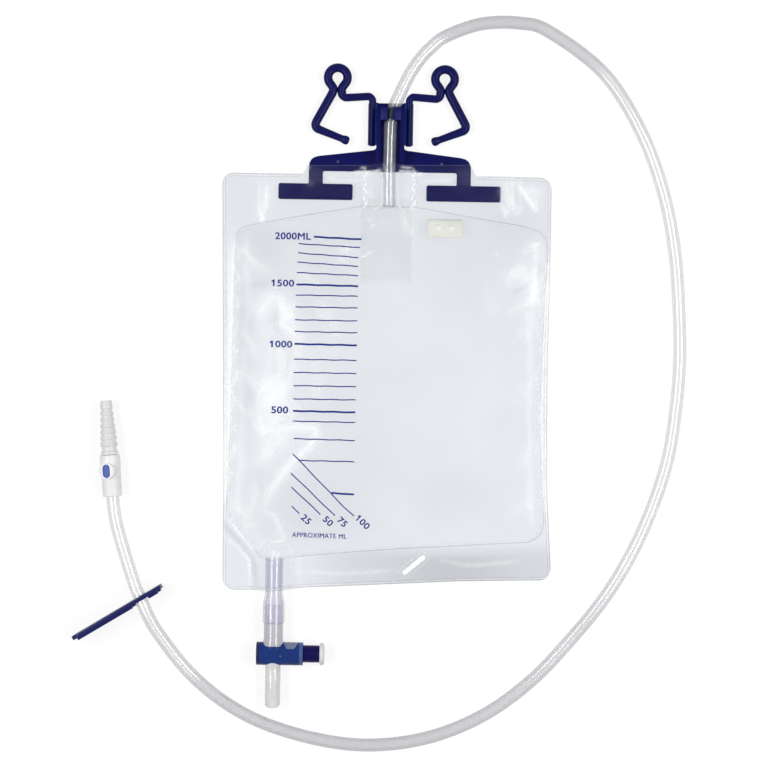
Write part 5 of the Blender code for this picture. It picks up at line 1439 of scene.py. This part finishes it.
class DRAINBAG_OT_hanger(bpy.types.Operator):
    """Dress the hanger, with its clip, its T-bars and its hook sockets"""

    bl_idname = "drainbag.hanger"
    bl_label = "Hanger"

    def execute(self, context):
        plastic = settings("mouldings")
        navy = moulded("navy moulding", plastic.navy, 0.34, 0.07, flow=0.0002)
        # painted light and shade: the clip's fingers and the socket lips get lighter copies of the navy, the
        # channel's walls a darker one
        lit_web = moulded("navy web painted lighter", Vector(plastic.navy) * 1.35 + Vector((0.001, 0.003, 0.0)), 0.30, 0.08)
        lit_lips = moulded("socket lip painted lighter", (0.010, 0.034, 0.170), 0.30, 0.10)
        deep = moulded("shaded navy wall", Vector(plastic.navy) * 0.62, 0.40, 0.04)
        finishes = (navy, lit_web, deep, lit_lips)
        mesh = dress("hanger", "hanger_moulding", "bag", finishes, plastic.edge)
        inverse = hanger_matrix().inverted()
        for face in mesh.polygons:
            x, y, z = inverse @ face.center
            x = abs(x)
            # faces that take the painted light (fingers, lips) and the painted shade (the channel's walls and
            # the band above the fingers)
            lit_finger = z > 0.0118 and x < 0.0066 and 0.0345 < y < 0.0442
            lit_lip = 0.0098 < x < 0.0121 and y > 0.0185 and z > 0.0050
            inner = x < 0.0070 and 0.0058 < y < 0.0345 and z < 0.0118 or 0.0442 < y and x < 0.0098
            face.material_index = 1 if lit_finger else 3 if lit_lip else 2 if inner else 0
        self.ejector_marks(navy)
        return {"FINISHED"}

    def ejector_marks(self, navy):
        """The two shallow marks that the mould's ejector pins leave on the arms."""
        # the dot on each mark is greyer and duller than the navy round it
        grey = moulded("pale ejector mark", (0.075, 0.080, 0.105), 0.55, 0.3)
        dot = [(0.0, 0.00006), (0.0007, 0.00006), (0.00085, 0.0)]
        ring = [(0.0033, 0.0), (0.0034, 0.00007), (0.0037, 0.00007), (0.0038, 0.0)]
        meshes = [
            lathe("mark", profile, Matrix.Translation((*place, PLATE_TOP)), segments)
            for place in EJECTOR_MARKS for profile, segments in ((dot, 24), (ring, 40))
        ]
        whole = join_meshes("ejector_marks", meshes)
        add_piece("ejector_marks", whole, "bag", (grey, navy), (), 1.0)
        for face in whole.polygons:
            centre = min((face.center.xy - Vector(place)).length for place in EJECTOR_MARKS)
            face.material_index = 0 if centre < 0.002 else 1


class DRAINBAG_OT_hooks(bpy.types.Operator):
    """Bend the two hooks from their round rod"""

    bl_idname = "drainbag.hooks"
    bl_label = "Hooks"

    def execute(self, context):
        navy = moulded("navy hook", settings("mouldings").navy, 0.30, 0.10, flow=0.0001)
        tree = sweep_tree("Swept rod")
        route, widths = hook_route()
        for side, name in ((-1, "left_hook"), (1, "right_hook")):
            fine = smooth_route([(side * x, y, w) for (x, y), w in zip(route, widths)], 0.0008)
            points = [tuple(hanger_matrix() @ Vector((x + side * HOOK_AXIS, y, HOOK_Z))) for x, y, _ in fine]
            mesh = swept_mesh(
                f"{name}_rod", tree, points, fine[:, 2],
                {"Outside diameter": HOOK_ROD, "Sides": 24, "Outer finish": navy},
            )
            tidy_normals(mesh)
            add_piece(f"{name}_rod", mesh, name, None, (name,), math.radians(50))
        return {"FINISHED"}


# ---------------------------------------------------------------- outlet and tap
def tap_matrix():
    return Matrix.Translation(TAP_PLACE) @ Matrix.Rotation(OUTLET_LEAN, 4, "Z")


# Planes across the tap's barrel, each as a place and the way it faces, in the tap's own frame
TAP_COLLAR = ((-0.0092, 0.0), (1.0, 0.0))
TAP_MOUTH = ((0.0184, 0.0), (1.0, 0.0))
# the three planes that bound a painted highlight on top of the barrel
TAP_HIGHLIGHT_PLANES = (((0.01254, 0.0), (1.0, 0.65)), ((0.01171, 0.0), (-1.0, 0.735)), ((0.0, 0.0042), (0.0, 1.0)))
# Where the outlet tube starts on the spigot, in the same frame
OUTLET_FOOT = 0.0213
ALONG_Y = Matrix.Rotation(-math.pi / 2, 4, "X")


class DRAINBAG_OT_outlet_and_tap(bpy.types.Operator):
    """Make the outlet tube and the push-pull tap under it"""

    bl_idname = "drainbag.outlet_and_tap"
    bl_label = "Outlet and tap"

    def execute(self, context):
        self.outlet_tube()
        self.tap_body()
        self.spool()
        return {"FINISHED"}

    def outlet_tube(self):
        lilac = soft_vinyl("lilac outlet vinyl", (0.60, 0.57, 0.67), 0.11, 0.24)
        outer, wall, stretched, top = OUTLET_TUBE / 2, 0.0012, 0.0064, 0.0663
        foot, shoulder = OUTLET_FOOT, OUTLET_FOOT + 0.0136
        profile = [
            (outer - wall, top), (outer - 0.0002, top), (outer, top - 0.0002), (outer, shoulder + 0.0070),
            (outer + 0.0003, shoulder + 0.0045), (stretched + wall - 0.0002, shoulder + 0.0010),
            (stretched + wall, shoulder - 0.002), (stretched + wall, foot + 0.0003),
            (stretched + wall - 0.0003, foot), (stretched, foot), (stretched, shoulder + 0.0006),
            (outer - wall, shoulder + 0.005),
        ]
        mesh = lathe("outlet_tube_wall", profile, tap_matrix() @ ALONG_Y, 56, closed=True)
        add_piece("outlet_tube_wall", mesh, "bag", [lilac], ("outlet_tube",), MOULDED_EDGE)

    def tap_body(self):
        colours = settings("mouldings")
        blue = moulded("blue tap barrel", colours.barrel, 0.22, 0.12, flow=0.0001)
        pale = soft_vinyl("pale tap spigot", (0.66, 0.65, 0.69), 0.66)
        nozzle = soft_vinyl("pale nozzle", (0.86, 0.86, 0.85), 0.80)
        inner = soft_vinyl("spigot in the outlet tube", (0.92, 0.91, 0.97), 0.16, 0.25)
        collar = moulded("dark tap collar", (0.012, 0.012, 0.075), 0.25, 0.2)
        mouth = moulded("blue tap mouth", (0.050, 0.105, 0.290), 0.25, 0.3)
        # painted highlight: a paler patch on top of the barrel
        glint = moulded("painted tap highlight", (0.165, 0.210, 0.310), 0.25, 0.3)
        finishes = (blue, pale, nozzle, inner, collar, mouth, glint)
        mesh = dress(
            "tap_body", "tap_body_shell", "bag", finishes, colours.edge * 0.8,
            cut=self.cut_bands,
        )
        inverse = tap_matrix().inverted()
        for face in mesh.polygons:
            face.material_index = self.tap_part(inverse @ face.center, inverse.to_3x3() @ face.normal)
        # a small bump for the gate mark, whose pale finish is a painted highlight
        mark = lathe(
            "tap_gate_mark_glint", [(0.00005, 0.0004), (0.0004, 0.0003), (0.0006, -0.0004)],
            tap_matrix() @ Matrix.Translation((0.0055, -0.0008, 0.0079)), 16,
        )
        add_piece("tap_gate_mark_glint", mark, "bag", [glint], (), MOULDED_EDGE)

    def cut_bands(self, mesh):
        """Cuts the barrel's faces where its bands of colour meet."""
        with edited(mesh) as shape:
            for (x, y), (nx, ny) in (TAP_COLLAR, TAP_MOUTH, *TAP_HIGHLIGHT_PLANES):
                bmesh.ops.bisect_plane(
                    shape, geom=shape.verts[:] + shape.edges[:] + shape.faces[:], dist=0.000001,
                    plane_co=tap_matrix() @ Vector((x, y, 0.0)),
                    plane_no=tap_matrix().to_3x3() @ Vector((nx, ny, 0.0)),
                )

    def tap_part(self, place, facing):
        """Which finish a face of the tap's body has."""
        upright = abs(facing.y) < 0.25 and math.hypot(place.x, place.z) < 0.0073
        if place.y > OUTLET_FOOT:
            return 3
        if place.y > 0.0079 or (place.y > 0.003 and upright):
            return 1
        if place.y < -0.0079 or (place.y < -0.003 and upright):
            return 2
        # the painted highlight on top of the barrel
        beyond = [(place.x - x) * nx + (place.y - y) * ny > 0 for (x, y), (nx, ny) in TAP_HIGHLIGHT_PLANES]
        if all(beyond) and facing.z > 0:
            return 6
        return 4 if place.x < TAP_COLLAR[0][0] else 5 if place.x > TAP_MOUTH[0][0] else 0

    def spool(self):
        """The plunger with its three seals and its cap, which slide together."""
        dark = moulded("dark plunger", settings("mouldings").plunger, 0.30, 0.10)
        dress("tap_plunger", "tap_plunger_spool", "tap_spool", [dark], 0.0003)
        rubber = moulded("grey seal rubber", (0.09, 0.09, 0.10), 0.6, 0.3)
        for name in ("inner_seal", "middle_seal", "outer_seal"):
            mesh = merged_copy(name, f"{name}_ring")
            add_piece(mesh.name, mesh, "tap_spool", [rubber], (name,), SMOOTH)
        white = moulded("white cap", (0.75, 0.78, 0.81), 0.35, 0.3, mottle=0.03, scatter=0.1)
        dress("plunger_cap", "plunger_cap_button", "tap_spool", [white], 0.0003)


# ---------------------------------------------------------------- connector and clamp
def connector_matrix():
    along = connector_axis()
    level = along.cross(Vector((0.0, 0.0, 1.0)))
    port = Vector((0.0, 0.0, 1.0)) * math.cos(PORT_ROLL) - level * math.sin(PORT_ROLL)
    side = along.cross(port)
    turn = Matrix((port, side, along)).transposed().to_4x4()
    return Matrix.Translation(CONNECTOR_FOOT) @ turn


class DRAINBAG_OT_connector(bpy.types.Operator):
    """Make the stepped connector and its needle-free sampling port"""

    bl_idname = "drainbag.connector"
    bl_label = "Connector"

    def execute(self, context):
        colours = settings("mouldings")
        white = moulded("white connector", colours.white, 0.32, 0.45, mottle=0.03, scatter=0.08)
        bore, wide, narrow, barbs, first, pitch = 0.0025, 0.0127, 0.0087, 7, 0.0356, 0.0043
        profile = [(bore, 0.0670), (0.00385, 0.0670)]
        for k in reversed(range(barbs)):
            share = k / (barbs - 1)
            crest = (wide + (narrow - wide) * share) / 2
            place = first + k * pitch
            root = crest - 0.0011 * (1 - 0.3 * share)
            profile += [(crest, place + 0.0005), (crest, place), (root, place - 0.0007)]
        profile += [
            (0.0050, 0.0323), (0.0061, 0.0311), (0.0061, 0.0293), (0.0047, 0.0293), (0.0047, 0.0213),
            (bore, 0.0213),
        ]
        profile = round_corners(profile, 0.0002, 2)
        mesh = lathe("stepped_connector_shell", profile, connector_matrix(), 64, closed=True)
        add_piece("stepped_connector_shell", mesh, "bag", [white],
                  ("stepped_connector",), MOULDED_EDGE)
        ivory = moulded("white port body", Vector(colours.white) * 1.16, 0.36, 0.4, mottle=0.03, scatter=0.08)
        dress("port_body", "port_body_shell", "bag", [ivory], colours.edge)
        rubber = moulded("blue septum rubber", colours.septum, 0.42, 0.4)
        dress("port_septum", "port_septum_rubber", "bag", [rubber], 0.0003, 3)
        return {"FINISHED"}


class DRAINBAG_OT_clamp(bpy.types.Operator):
    """Dress the slide clamp that pinches the tube"""

    bl_idname = "drainbag.clamp"
    bl_label = "Slide clamp"

    def execute(self, context):
        plastic = settings("mouldings")
        navy = moulded("navy clamp", plastic.clamp, 0.30, 0.12, flow=0.0002)
        dress("slide_clamp", "slide_clamp_plate", "clamp", [navy], plastic.edge)
        return {"FINISHED"}


# ---------------------------------------------------------------- sidebar and start
ORDER = (
    DRAINBAG_OT_stage, DRAINBAG_OT_connector, DRAINBAG_OT_clamp, DRAINBAG_OT_drain_tube,
    DRAINBAG_OT_films, DRAINBAG_OT_valve_and_filter, DRAINBAG_OT_print, DRAINBAG_OT_hanger,
    DRAINBAG_OT_hooks, DRAINBAG_OT_outlet_and_tap,
)
GROUPS = {
    "stage": StageSettings, "films": FilmSettings, "tube": TubeSettings, "mouldings": MouldingSettings,
}


class DRAINBAG_PT_panel(bpy.types.Panel):
    """Lists the pieces and their sizes"""

    bl_idname = "DRAINBAG_PT_panel"
    bl_label = "Drainage bag"
    bl_space_type = "VIEW_3D"
    bl_region_type = "UI"
    bl_category = "Drainage bag"

    def draw(self, context):
        for name, group in GROUPS.items():
            box = self.layout.box()
            box.label(text=name.title())
            for key in group.__annotations__:
                box.prop(settings(name), key)
        for operator in ORDER:
            self.layout.operator(operator.bl_idname)


def register():
    for group in GROUPS.values():
        bpy.utils.register_class(group)
    for operator in ORDER:
        bpy.utils.register_class(operator)
    bpy.utils.register_class(DRAINBAG_PT_panel)
    for name, group in GROUPS.items():
        setattr(bpy.types.Scene, f"drainage_{name}", PointerProperty(type=group))


def unregister():
    for name in GROUPS:
        delattr(bpy.types.Scene, f"drainage_{name}")
    bpy.utils.unregister_class(DRAINBAG_PT_panel)
    for operator in reversed(ORDER):
        bpy.utils.unregister_class(operator)
    for group in reversed(list(GROUPS.values())):
        bpy.utils.unregister_class(group)


def main():
    register()
    for operator in ORDER:
        family, name = operator.bl_idname.split(".")
        getattr(getattr(bpy.ops, family), name)()


if __name__ == "__main__":
    main()
